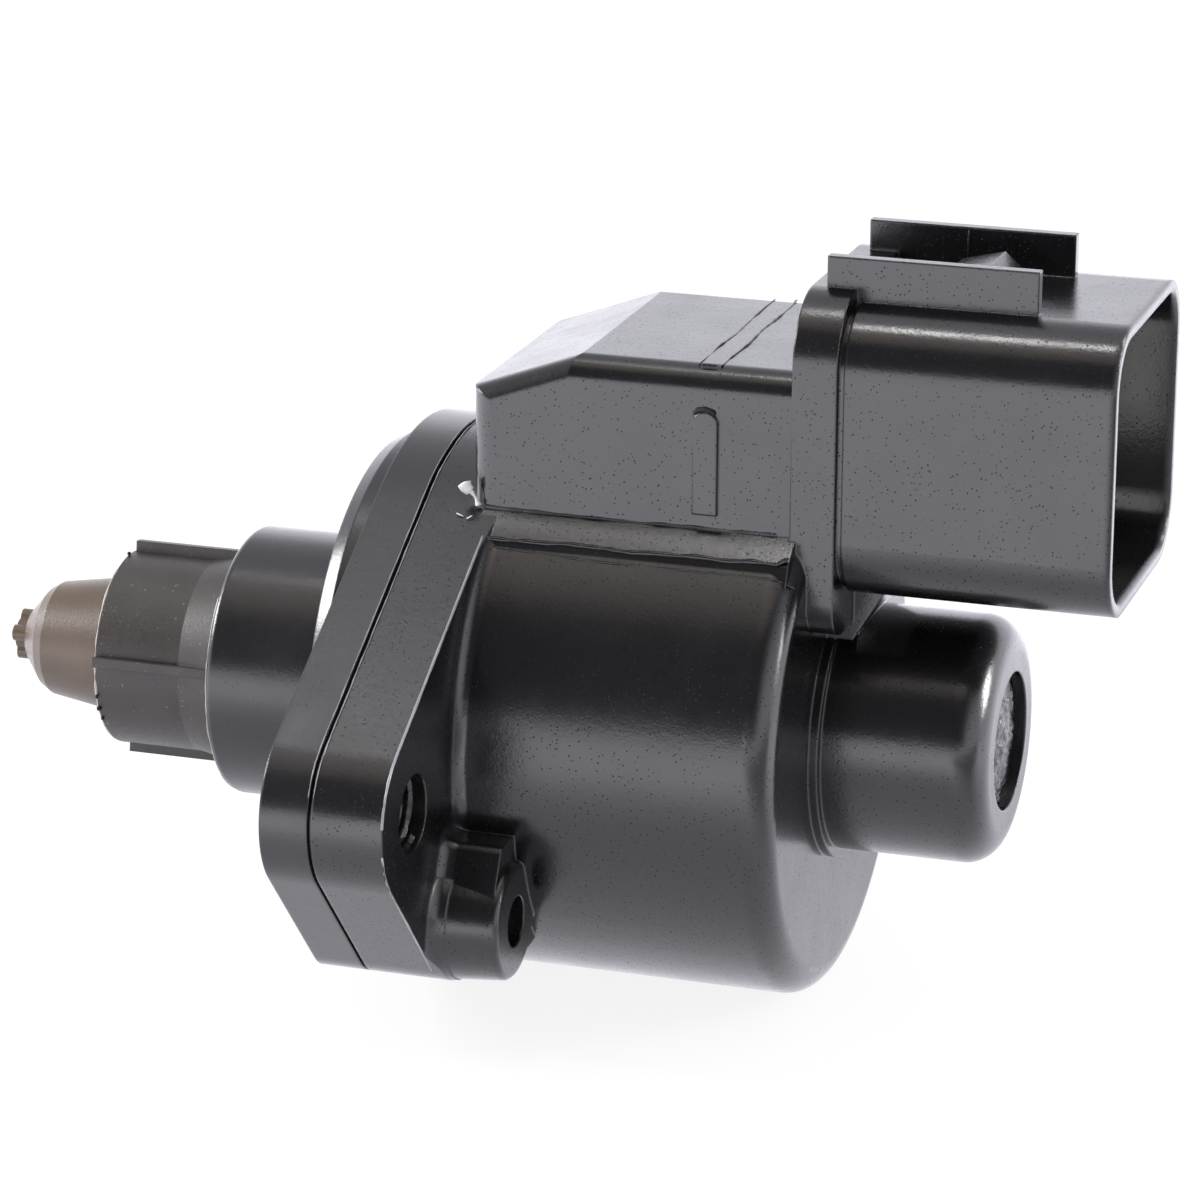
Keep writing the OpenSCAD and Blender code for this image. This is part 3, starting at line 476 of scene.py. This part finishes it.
class VALVE_OT_motor(bpy.types.Operator):
    """Finishes the motor, the bearings, the screws and the terminals"""

    bl_idname = "valve.motor"
    bl_label = "Motor, Bearings and Terminals"

    def execute(self, context):
        edge = context.scene.valve_finish.edge_round / 3
        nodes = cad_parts
        bearings = [name for name in nodes if "bearing" in name]
        poles = [name for name in nodes if "pole" in name]
        terminals = [name for name in nodes if "terminal" in name]
        # Plastics: waxy white, cream and green, with a low sheen
        hub = satin_plastic("acetal_moulded_natural", linear("#D9D5C5"), rough=0.45, edge=edge)
        bush = satin_plastic("bearing_bush_plastic_moulded", linear("#B9B49F"), rough=0.5, edge=edge)
        bobbins = satin_plastic("polyester_moulded_green", linear("#3D5A4A"), rough=0.42, edge=edge)
        # Dull brown rubber, and a dull grey ceramic magnet
        seal = satin_plastic("nitrile_rubber_moulded", linear("#3A2A24"), rough=0.62, edge=edge)
        magnet = satin_plastic("ferrite_sintered_matte", linear("#4A4A4D"), rough=0.6, edge=edge,
                               grain_mm=0.15)
        # Steels: bright where they are ground, greyer where they are pressed or plated
        bright_steel = turned_metal("stainless_steel_rolled", linear("#B4B6BA"), rough=0.26)
        ground_steel = turned_metal("bearing_steel_ground", linear("#D5D7DA"), rough=0.14)
        sheet_steel = turned_metal("sheet_steel_pressed_zinc", linear("#A6A9AE"), rough=0.38, lines_mm=0.3)
        plated_steel = turned_metal("zinc_plated_steel", linear("#B0B2B5"), rough=0.34)
        # Warm white tin, and red-brown lacquered copper
        tinned = turned_metal("tin_plated_copper_alloy", linear("#D6D2C4"), rough=0.3)
        copper = enamelled_winding("copper_wire_enamelled", linear("#B06A3A"))
        for material, names in (
            (hub, ["rotor_hub"]), (bush, ["guide_bush"]), (bobbins, ["front_bobbin", "rear_bobbin"]),
            (seal, ["plate_seal"]), (magnet, ["rotor_magnet"]), (bright_steel, ["lead_screw", "wave_washer"]),
            (ground_steel, bearings), (sheet_steel, poles), (plated_steel, ["assembly_screws"]),
            (tinned, terminals), (copper, ["front_coil", "rear_coil"]),
        ):
            finish_nodes(material, *names)
        return {"FINISHED"}


class VALVE_OT_ear_threads(bpy.types.Operator):
    """Winds the thread inside both mounting ears"""

    bl_idname = "valve.ear_threads"
    bl_label = "Ear Threads"
    # Where the thread begins and ends, the share of its radius that it is torn by, and the fineness of that
    start = 0.6 * MM
    end = 9.3 * MM
    wear = 0.06
    wear_scale = 0.9 / MM

    def execute(self, context):
        sizes = context.scene.valve_details
        finish = context.scene.valve_finish
        # The housing's own nylon, cut by the mould's thread: glossy, with sharper edges
        cut = satin_plastic("nylon_moulded_thread", tuple(finish.housing), rough=0.26,
                            edge=finish.edge_round / 3)
        for side, name in ((-1, "ear_thread_near"), (1, "ear_thread_far")):
            thread = helix(sizes.thread_radius, -sizes.thread_depth, sizes.thread_pitch, self.start, self.end,
                           sizes.thread_steps)
            for vert in thread.verts:
                torn = noise.noise(vert.co * self.wear_scale)
                vert.co.y *= 1 + self.wear * torn
                vert.co.z *= 1 + self.wear * torn
            bmesh.ops.translate(thread, verts=thread.verts, vec=(0, side * sizes.screw_pitch, 0))
            place(thread, name, cut)
        return {"FINISHED"}


class VALVE_OT_box_flash(bpy.types.Operator):
    """Lays flash around the conduit box, and burrs at its foot that are pale as a painted highlight"""

    bl_idname = "valve.box_flash"
    bl_label = "Flash on the Box"
    # Millimetres: the skirt's near edge and the line below it, which runs over the body's rear rounding
    skirt_edge = [(7.4, -14.5, 17.35), (10, -14.5, 17.5), (20, -14.5, 17.55), (30, -14.5, 17.6),
                  (34.2, -14.5, 17.75), (35.2, -14.3, 18.3)]
    skirt_foot = [(8.4, -14.72, 17.0), (14, -14.9, 16.86), (20, -15.12, 16.66), (30, -15.12, 16.66),
                  (34.4, -15.1, 16.6), (35.9, -14.7, 15.9)]
    # The box's foot on its near side, and the two seams across its top, as (x, y)
    box_side = -12.22
    box_foot = [(9, 19.5), (15, 19.35), (24, 19.35), (33.6, 19.4)]
    box_top = 32.33
    front_seam = [(26.7, -11.2), (26.6, -6), (26.8, -1), (26.6, 4), (26.7, 11)]
    rear_seam = [(28.5, -11), (28.6, -4), (28.4, 0), (28.6, 6), (28.5, 11.2)]
    # Burrs where the box's front corner meets the skirt, pale as a painted highlight: two thick ones and two
    # thin threads
    thick_burr = [(7.7, -12.35, 21.3), (7.9, -12.4, 20.9), (8.3, -12.4, 20.5)]
    lower_burr = [(8.1, -12.4, 20.6), (8.6, -12.4, 20.0), (8.9, -12.4, 19.4)]
    front_thread = [(7.2, -13.1, 18.9), (7.9, -13.2, 18.7)]
    rear_thread = [(8.2, -13.4, 18.6), (8.7, -13.3, 18.9)]

    def execute(self, context):
        sizes = context.scene.valve_details
        nylon = flash_nylon(context.scene.valve_finish)
        ledge = [
            bead(sizes, self.skirt_edge, width=0.8, lumps=0.7, seed=1),
            bead(sizes, self.skirt_foot, width=0.4, wander=0.5, lumps=0.6, seed=7),
        ]
        place(join(ledge), "ledge_flash", nylon)
        foot = [(x, self.box_side, z) for x, z in self.box_foot]
        front = [(*point, self.box_top) for point in self.front_seam]
        rear = [(*point, self.box_top) for point in self.rear_seam]
        lines = [
            bead(sizes, foot, width=0.3, wander=0.6, seed=3),
            bead(sizes, front, width=0.26, wander=0.6, lumps=0.6, seed=4),
            bead(sizes, rear, width=0.34, wander=0.6, lumps=0.6, seed=5),
        ]
        place(join(lines), "box_flash", nylon)
        burrs = [
            bead(sizes, self.thick_burr, width=2, seed=11, step=FINE),
            bead(sizes, self.lower_burr, width=1, seed=12, step=FINE),
            bead(sizes, self.front_thread, width=0.25, lumps=0.5, seed=13, step=FINE),
            bead(sizes, self.rear_thread, width=0.25, lumps=0.5, seed=14, step=FINE),
        ]
        # The burrs are flash whose pale colour is a painted highlight where the box's foot catches the light;
        # they are dull
        torn = satin_plastic("nylon_burr_painted_highlight", linear("#D2D2D6"), rough=0.5, edge=FLASH_EDGE)
        place(join(burrs), "foot_burrs", torn)
        return {"FINISHED"}


class VALVE_OT_nose_flash(bpy.types.Operator):
    """Lays the torn rims, the crumbs, and dark lines of painted shade beside the nose's rib"""

    bl_idname = "valve.nose_flash"
    bl_label = "Flash on the Nose"
    # Millimetres: place along the axis and radius of the sleeve's mouth, the pilot's front edge, the crumbs
    sleeve_rim = (-26.84, 8.2)
    pilot_rim = (-15.55, 11.22)
    crumb_rim = (-26.75, 8.4)
    # Degrees from the top where a crumb hangs, and how many degrees it spans
    crumb_turns = (-122, -114, -105, -6)
    crumb_span = 3
    # The near rib's length, and the places (y, z) of the painted shade lines on both sides of it
    rib = (-26.6, -19.4)
    rib_shade_lines = ((-8.15, 1.66), (-8.28, 0.76))

    def execute(self, context):
        sizes = context.scene.valve_details
        sleeve = arc(*self.sleeve_rim, even_turns(-165, -20, 30))
        pilot = arc(*self.pilot_rim, even_turns(-150, -45, 24))
        rims = [
            bead(sizes, sleeve, width=0.5, wander=0.6, seed=41),
            bead(sizes, pilot, width=0.26, wander=0.3, lumps=0.8, seed=42),
        ]
        # A torn edge of the sleeve's acetal is pale and dull
        pale_beads = satin_plastic("acetal_flash_worn", linear("#A39D97"), rough=0.4, edge=FLASH_EDGE)
        place(join(rims), "nose_flash", pale_beads)
        marks = []
        for i, turn in enumerate(self.crumb_turns):
            # Every other crumb is bigger
            spot = arc(*self.crumb_rim, even_turns(turn, turn + self.crumb_span, 2))
            marks.append(bead(sizes, spot, width=0.5 + 0.2 * (i % 2), seed=50 + i, step=FINE))
        # Dark beads along both sides of the near rib are painted shade
        for i, (y, z) in enumerate(self.rib_shade_lines):
            shade_line = [(x, y, z) for x in self.rib]
            marks.append(bead(sizes, shade_line, width=0.3, wander=0.3, lumps=0.5, seed=71 + i))
        place(join(marks), "nose_crumbs_and_shade_lines", shadow_nylon())
        return {"FINISHED"}


class VALVE_OT_edge_flash(bpy.types.Operator):
    """Lays the knit line of a latch rail, and grey beads that paint highlights on the edges of the flange"""

    bl_idname = "valve.edge_flash"
    bl_label = "Flash on the Rail, Painted Highlights on the Flange"
    # Millimetres: the knit line up the far latch rail
    knit_line = [(44.05, 5.98, 38.4), (44.05, 5.98, 40.7)]
    # Both sides of the joint between plate and housing: place along the axis and share of the flash's width
    joint_sides = ((3.9, 0.17), (4.33, 0.2))
    # The flange's rounded middle, the ear's end at the joint and at the rear, and the place of the rear edge
    middle_radius = 22.75
    ear_radius = 6.95
    rear_ear_radius = 6.84
    rear_x = 10.04
    # Where the rear edge begins at the skirt, meets the ear, and ends below it, as (y, z)
    skirt_end = (-14.6, 17.73)
    ear_start = (-34.92, 5.92)
    lower_end = (-27.2, -14.75)

    def execute(self, context):
        sizes = context.scene.valve_details
        knit = bead(sizes, self.knit_line, width=0.3, wander=0.3, lumps=0.5, seed=61)
        place(knit, "rail_flash", flash_nylon(context.scene.valve_finish))
        ear_y = -sizes.screw_pitch / MM
        # Painted highlights along the joint: from the box over the flange's middle to the near ear
        edges = []
        for i, (x, width) in enumerate(self.joint_sides):
            middle = arc(x, self.middle_radius, range(0, -31, -6))
            ear = arc(x, self.ear_radius, range(-30, -67, -12), ear_y)
            edges.append(bead(sizes, middle + ear, width=width, wander=0.3, seed=31 + i))
        # Painted highlights along the rear edge: from the skirt over the ear's upper side, and from its lower
        # side downwards
        upper = [(self.rear_x, *self.skirt_end), (self.rear_x, *self.ear_start)]
        upper += arc(self.rear_x, self.rear_ear_radius, (-40, -50, -60, -70, -78, -82), ear_y)
        lower = arc(self.rear_x, self.rear_ear_radius, (-98, -102, -112, -122, -132), ear_y)
        lower.append((self.rear_x, *self.lower_end))
        edges.append(bead(sizes, upper, width=0.44, wander=0, lumps=0.25, seed=33))
        edges.append(bead(sizes, lower, width=0.3, wander=0, lumps=0.25, seed=34))
        # The grey beads are painted highlights on the edges of the black nylon, and they are glossy
        pale_beads = satin_plastic("nylon_edge_painted_highlight", linear("#85858A"), rough=0.3, edge=FLASH_EDGE, grain_mm=0.2,
                             spread=0.5)
        place(join(edges), "flange_edge_highlights", pale_beads)
        return {"FINISHED"}


class VALVE_OT_gate_scar(bpy.types.Operator):
    """Makes the rough floor of the recess in the neck's end, where the gate was torn off"""

    bl_idname = "valve.gate_scar"
    bl_label = "Gate Scar"
    radius = 5.6 * MM
    # Places of the floor and of the disc's back, and how far the disc is flattened
    floor_x = 49.0 * MM
    back_x = 48.3 * MM
    flatness = 0.06
    # The hump in the middle, and the height and fineness of the roughness
    hump_height = 0.45 * MM
    hump_radius = 2 * MM
    rough_height = 0.22 * MM
    rough_scale = 0.9 / MM

    def execute(self, context):
        scar = bmesh.new()
        bmesh.ops.create_icosphere(scar, subdivisions=6, radius=self.radius)
        for vert in scar.verts:
            flat = vert.co.copy()
            flat.x = 0
            hump = self.hump_height * math.exp(-((flat.length / self.hump_radius) ** 2))
            rough = noise.fractal(flat * self.rough_scale, 1.0, 2.0, 4) * self.rough_height
            level = self.floor_x + hump + rough if vert.co.x > 0 else self.back_x
            vert.co.x = vert.co.x * self.flatness + level
        # Torn nylon with bright facets
        torn = satin_plastic("nylon_torn_gate", linear("#1C1C1F"), rough=0.3, edge=FLASH_EDGE, grain_mm=0.25,
                             spread=0.7)
        place(scar, "gate_scar", torn)
        return {"FINISHED"}


class VALVE_OT_painted_shade_marks(bpy.types.Operator):
    """Makes dark beads of painted shade on the box"""

    bl_idname = "valve.sink_marks"
    bl_label = "Painted Shade Marks"
    # Millimetres: painted shade in the notch between the seams' near ends, and a painted shadow under the top
    # of the raised strip
    notch = [(26.9, -11.15, 32.3), (28.2, -11.1, 32.3)]
    strip_shadow = [(26.7, -12.3, 28.6), (27.0, -12.3, 28.95), (27.6, -12.3, 29.05), (28.2, -12.3, 28.9),
                    (28.45, -12.3, 28.6)]

    def execute(self, context):
        sizes = context.scene.valve_details
        marks = [
            bead(sizes, self.notch, width=0.3, wander=0.6, lumps=0.8, seed=21, step=FINE),
            bead(sizes, self.strip_shadow, width=0.8, wander=0, lumps=0.3, seed=22, step=FINE),
        ]
        place(join(marks), "painted_shade_marks", shadow_nylon())
        return {"FINISHED"}


class VALVE_OT_stage(bpy.types.Operator):
    """Sets up the camera, the floor, the lamps and the world"""

    bl_idname = "valve.stage"
    bl_label = "Studio"
    # Tints of the light that the valve reflects, from around it and from overhead in front
    cool = (0.985, 0.98, 1.07)
    warm = (1.1, 0.98, 0.93)
    # Name, place, width and height in millimetres and power of the lamps that face the valve
    softboxes = (
        ("right_softbox", (385, 99, 118), 120, 120, 1.3),
        ("rear_softbox", (296, 160, 206), 60, 110, 0.35),
        ("left_softbox", (-341, -60, 176), 180, 120, 1.8),
    )
    # The same for the strips overhead, which hang straight down, side by side, turned by some degrees
    strips = (
        ("top_strip", (-16, -32, 338), 40, 24, 0.13),
        ("top_strip_dim", (-106, 4, 338), 92, 24, 0.032),
    )
    strip_turn = -22
    # The light that the paper throws into the mouth of the plug, from its near wall onto the far one
    mouth_bounce = ("mouth_bounce", (52.5, -11.0, 25.5), 6, 19, 0.0009)
    # How bright reflections see the room's walls from the floor to overhead: (sine of elevation, brightness)
    walls = {
        "front": ((-1, 0.82), (0.07, 0.85), (0.15, 0.045), (0.76, 0.045), (0.84, 0.22), (1, 0.4)),
        "rear": ((-1, 0.48), (0.1, 0.49), (0.38, 0.51), (0.55, 0.26), (0.85, 0.25), (1, 0.4)),
        "side": ((-1, 0.65), (0.1, 0.58), (0.4, 0.48), (0.65, 0.27), (0.85, 0.22), (1, 0.4)),
    }
    # The sine of the elevation above which the front wall is warm
    warm_above = 0.8

    def execute(self, context):
        scene = context.scene
        studio = scene.valve_studio
        scene.view_settings.view_transform = "Standard"
        look_at = Vector(studio.look_at)
        self.camera(scene, studio, look_at)
        self.floor(scene, studio)
        self.sky(scene)
        for lamp in [self.lamp(scene, *settings) for settings in self.softboxes]:
            lamp.rotation_euler = (look_at - lamp.location).to_track_quat("-Z", "Y").to_euler()
        for lamp in [self.lamp(scene, *settings) for settings in self.strips]:
            lamp.rotation_euler.z = math.radians(self.strip_turn)
        self.lamp(scene, *self.mouth_bounce).rotation_euler.x = math.pi / 2
        return {"FINISHED"}

    def camera(self, scene, studio, look_at):
        """A long lens, at the photograph's angle."""
        back = Vector((math.sin(studio.azimuth) * math.cos(studio.elevation),
                       -math.cos(studio.azimuth) * math.cos(studio.elevation), math.sin(studio.elevation)))
        camera = bpy.data.objects.new("camera", bpy.data.cameras.new("camera"))
        scene.collection.objects.link(camera)
        camera.data.sensor_width = 36
        camera.data.lens = studio.lens
        camera.data.clip_start = 10 * MM
        turn = (-back).to_track_quat("-Z", "Y").to_matrix().to_4x4() @ Matrix.Rotation(studio.roll, 4, "Z")
        camera.matrix_world = Matrix.Translation(look_at + back * studio.distance) @ turn
        scene.camera = camera

    def lamp(self, scene, name, where, width, height, power):
        """A rectangular lamp that the camera doesn't see and that faces down."""
        lamp = bpy.data.objects.new(name, bpy.data.lights.new(name, "AREA"))
        scene.collection.objects.link(lamp)
        lamp.data.energy = power
        lamp.data.shape = "RECTANGLE"
        lamp.data.size = width * MM
        lamp.data.size_y = height * MM
        lamp.location = Vector(where) * MM
        lamp.visible_camera = False
        return lamp

    def floor(self, scene, studio):
        """A sheet of paper, 3 m wide, just under the valve."""
        mesh = bmesh.new()
        bmesh.ops.create_grid(mesh, x_segments=1, y_segments=1, size=1.5)
        bmesh.ops.translate(mesh, verts=mesh.verts, vec=(0, 0, -studio.floor_drop))
        data = bpy.data.meshes.new("floor")
        mesh.to_mesh(data)
        mesh.free()
        floor = bpy.data.objects.new("floor", data)
        scene.collection.objects.link(floor)
        data.materials.append(self.floor_paper(studio))

    def floor_paper(self, studio):
        """Matte white paper. The camera sees it white with a soft shadow, reflections see it lit around."""
        material, tree, shader = new_material("paper_matte_white")
        shader.inputs["Base Color"].default_value = (0.86, 0.86, 0.86, 1)
        shader.inputs["Roughness"].default_value = 0.9
        where = add(tree, "ShaderNodeTexCoord").outputs["Object"]
        side = add(tree, "ShaderNodeSeparateXYZ", {0: where})
        # The valve shades the paper under it, and the paper behind it is a little darker
        under = (15 * MM, 0, -studio.floor_drop)
        apart = add(tree, "ShaderNodeVectorMath", {0: where, 1: under}, operation="DISTANCE")
        near = add(tree, "ShaderNodeMapRange", {"Value": apart.outputs["Value"],
                                                "From Min": 40 * MM, "From Max": 150 * MM,
                                                "To Min": 1.5, "To Max": 3.6},
                   interpolation_type="SMOOTHSTEP")
        rear = add(tree, "ShaderNodeMapRange", {"Value": side.outputs["Y"],
                                                "From Min": -20 * MM, "From Max": 80 * MM,
                                                "To Min": 1.0, "To Max": 0.65})
        # The paper is in shade on the right in front of the valve
        right = add(tree, "ShaderNodeMapRange", {"Value": side.outputs["X"],
                                                 "From Min": 60 * MM, "From Max": 120 * MM,
                                                 "To Min": 1.0, "To Max": 0.2})
        behind = add(tree, "ShaderNodeMapRange", {"Value": side.outputs["Y"],
                                                  "From Min": -60 * MM, "From Max": 0.0})
        open_side = add(tree, "ShaderNodeMath", {0: right.outputs["Result"], 1: behind.outputs["Result"]},
                        operation="MAXIMUM")
        shaded = add(tree, "ShaderNodeMath", {0: near.outputs["Result"], 1: open_side.outputs[0]},
                     operation="MULTIPLY")
        strength = add(tree, "ShaderNodeMath", {0: shaded.outputs[0], 1: rear.outputs["Result"]},
                       operation="MULTIPLY")
        # The camera sees mostly white, and a share of the lit paper for the shadow; reflections see the glow
        rays = add(tree, "ShaderNodeLightPath")
        seen = add(tree, "ShaderNodeMath", {0: rays.outputs["Is Camera Ray"],
                                            1: rays.outputs["Is Transmission Ray"]}, operation="MAXIMUM")
        white = add(tree, "ShaderNodeEmission", {"Color": (1, 1, 1, 1), "Strength": 1.03})
        glow = add(tree, "ShaderNodeEmission", {"Color": (*self.cool, 1), "Strength": strength.outputs[0]})
        share = add(tree, "ShaderNodeMath", {0: seen.outputs[0], 1: 0.85}, operation="MULTIPLY")
        shown = add(tree, "ShaderNodeMixShader", {0: share.outputs[0], 1: shader.outputs[0],
                                                  2: white.outputs[0]})
        both = add(tree, "ShaderNodeMixShader", {0: rays.outputs["Is Glossy Ray"], 1: shown.outputs[0],
                                                 2: glow.outputs[0]})
        tree.links.new(both.outputs[0], tree.nodes["Material Output"].inputs["Surface"])
        return material

    def sky(self, scene):
        """An even white room. Reflections see a bright low front, dark above it, bright sides and rear."""
        world = bpy.data.worlds.new("studio")
        world.use_nodes = True
        scene.world = world
        tree = world.node_tree
        tree.nodes.clear()
        ray = add(tree, "ShaderNodeSeparateXYZ", {0: add(tree, "ShaderNodeTexCoord").outputs["Generated"]})
        height = add(tree, "ShaderNodeMapRange", {"Value": ray.outputs["Z"], "From Min": -1, "From Max": 1})
        colours = {}
        for wall, bands in self.walls.items():
            ramp = add(tree, "ShaderNodeValToRGB", {0: height.outputs["Result"]})
            stops = ramp.color_ramp.elements
            while len(stops) < len(bands):
                stops.new(0.5)
            for stop, (sine, value) in zip(stops, bands):
                tint = self.warm if wall == "front" and sine > self.warm_above else self.cool
                stop.position = (sine + 1) / 2
                stop.color = (*[value * part for part in tint], 1)
            colours[wall] = ramp.outputs["Color"]
        # The walls meet in soft corners
        behind = add(tree, "ShaderNodeMapRange", {"Value": ray.outputs["Y"], "From Min": -0.3,
                                                  "From Max": 0.35}, interpolation_type="SMOOTHSTEP")
        aside = add(tree, "ShaderNodeMath", {0: ray.outputs["X"]}, operation="ABSOLUTE")
        beside = add(tree, "ShaderNodeMapRange", {"Value": aside.outputs[0], "From Min": 0.42,
                                                  "From Max": 0.85}, interpolation_type="SMOOTHSTEP")
        depth = add(tree, "ShaderNodeMix", {"Factor": behind.outputs["Result"], "A": colours["front"],
                                            "B": colours["rear"]}, data_type="RGBA")
        room = add(tree, "ShaderNodeMix", {"Factor": beside.outputs["Result"], "A": depth.outputs["Result"],
                                           "B": colours["side"]}, data_type="RGBA")
        reflected = add(tree, "ShaderNodeBackground", {"Color": room.outputs["Result"], "Strength": 4.0})
        plain = add(tree, "ShaderNodeBackground", {"Color": (1, 1, 1, 1), "Strength": 0.85})
        white = add(tree, "ShaderNodeBackground", {"Color": (1, 1, 1, 1), "Strength": 1.0})
        rays = add(tree, "ShaderNodeLightPath")
        lit = add(tree, "ShaderNodeMixShader", {0: rays.outputs["Is Glossy Ray"], 1: plain.outputs[0],
                                                2: reflected.outputs[0]})
        seen = add(tree, "ShaderNodeMath", {0: rays.outputs["Is Camera Ray"],
                                            1: rays.outputs["Is Transmission Ray"]}, operation="MAXIMUM")
        every = add(tree, "ShaderNodeMixShader", {0: seen.outputs[0], 1: lit.outputs[0], 2: white.outputs[0]})
        out = add(tree, "ShaderNodeOutputWorld")
        tree.links.new(every.outputs[0], out.inputs["Surface"])


class VALVE_PT_sidebar(bpy.types.Panel):
    """Lists the settings and the steps that dress the valve"""

    bl_idname = "VALVE_PT_sidebar"
    bl_label = "Idle Air Control Valve"
    bl_space_type = "VIEW_3D"
    bl_region_type = "UI"
    bl_category = "Valve"

    def draw(self, context):
        for name, group in GROUPS:
            box = self.layout.box()
            for setting in group.__annotations__:
                box.prop(getattr(context.scene, name), setting)
        for operator in STEPS:
            self.layout.operator(operator.bl_idname)


GROUPS = (("valve_finish", ValveFinish), ("valve_details", ValveDetails), ("valve_studio", ValveStudio))
STEPS = (
    VALVE_OT_housing, VALVE_OT_nose, VALVE_OT_motor, VALVE_OT_ear_threads, VALVE_OT_box_flash,
    VALVE_OT_nose_flash, VALVE_OT_edge_flash, VALVE_OT_gate_scar, VALVE_OT_painted_shade_marks, VALVE_OT_stage,
)


def register():
    for name, group in GROUPS:
        bpy.utils.register_class(group)
        setattr(bpy.types.Scene, name, PointerProperty(type=group))
    for operator in STEPS:
        bpy.utils.register_class(operator)
    bpy.utils.register_class(VALVE_PT_sidebar)


def unregister():
    bpy.utils.unregister_class(VALVE_PT_sidebar)
    for operator in reversed(STEPS):
        bpy.utils.unregister_class(operator)
    for name, group in reversed(GROUPS):
        delattr(bpy.types.Scene, name)
        bpy.utils.unregister_class(group)


def main():
    register()
    for operator in STEPS:
        group, name = operator.bl_idname.split(".")
        getattr(getattr(bpy.ops, group), name)()


if __name__ == "__main__":
    main()
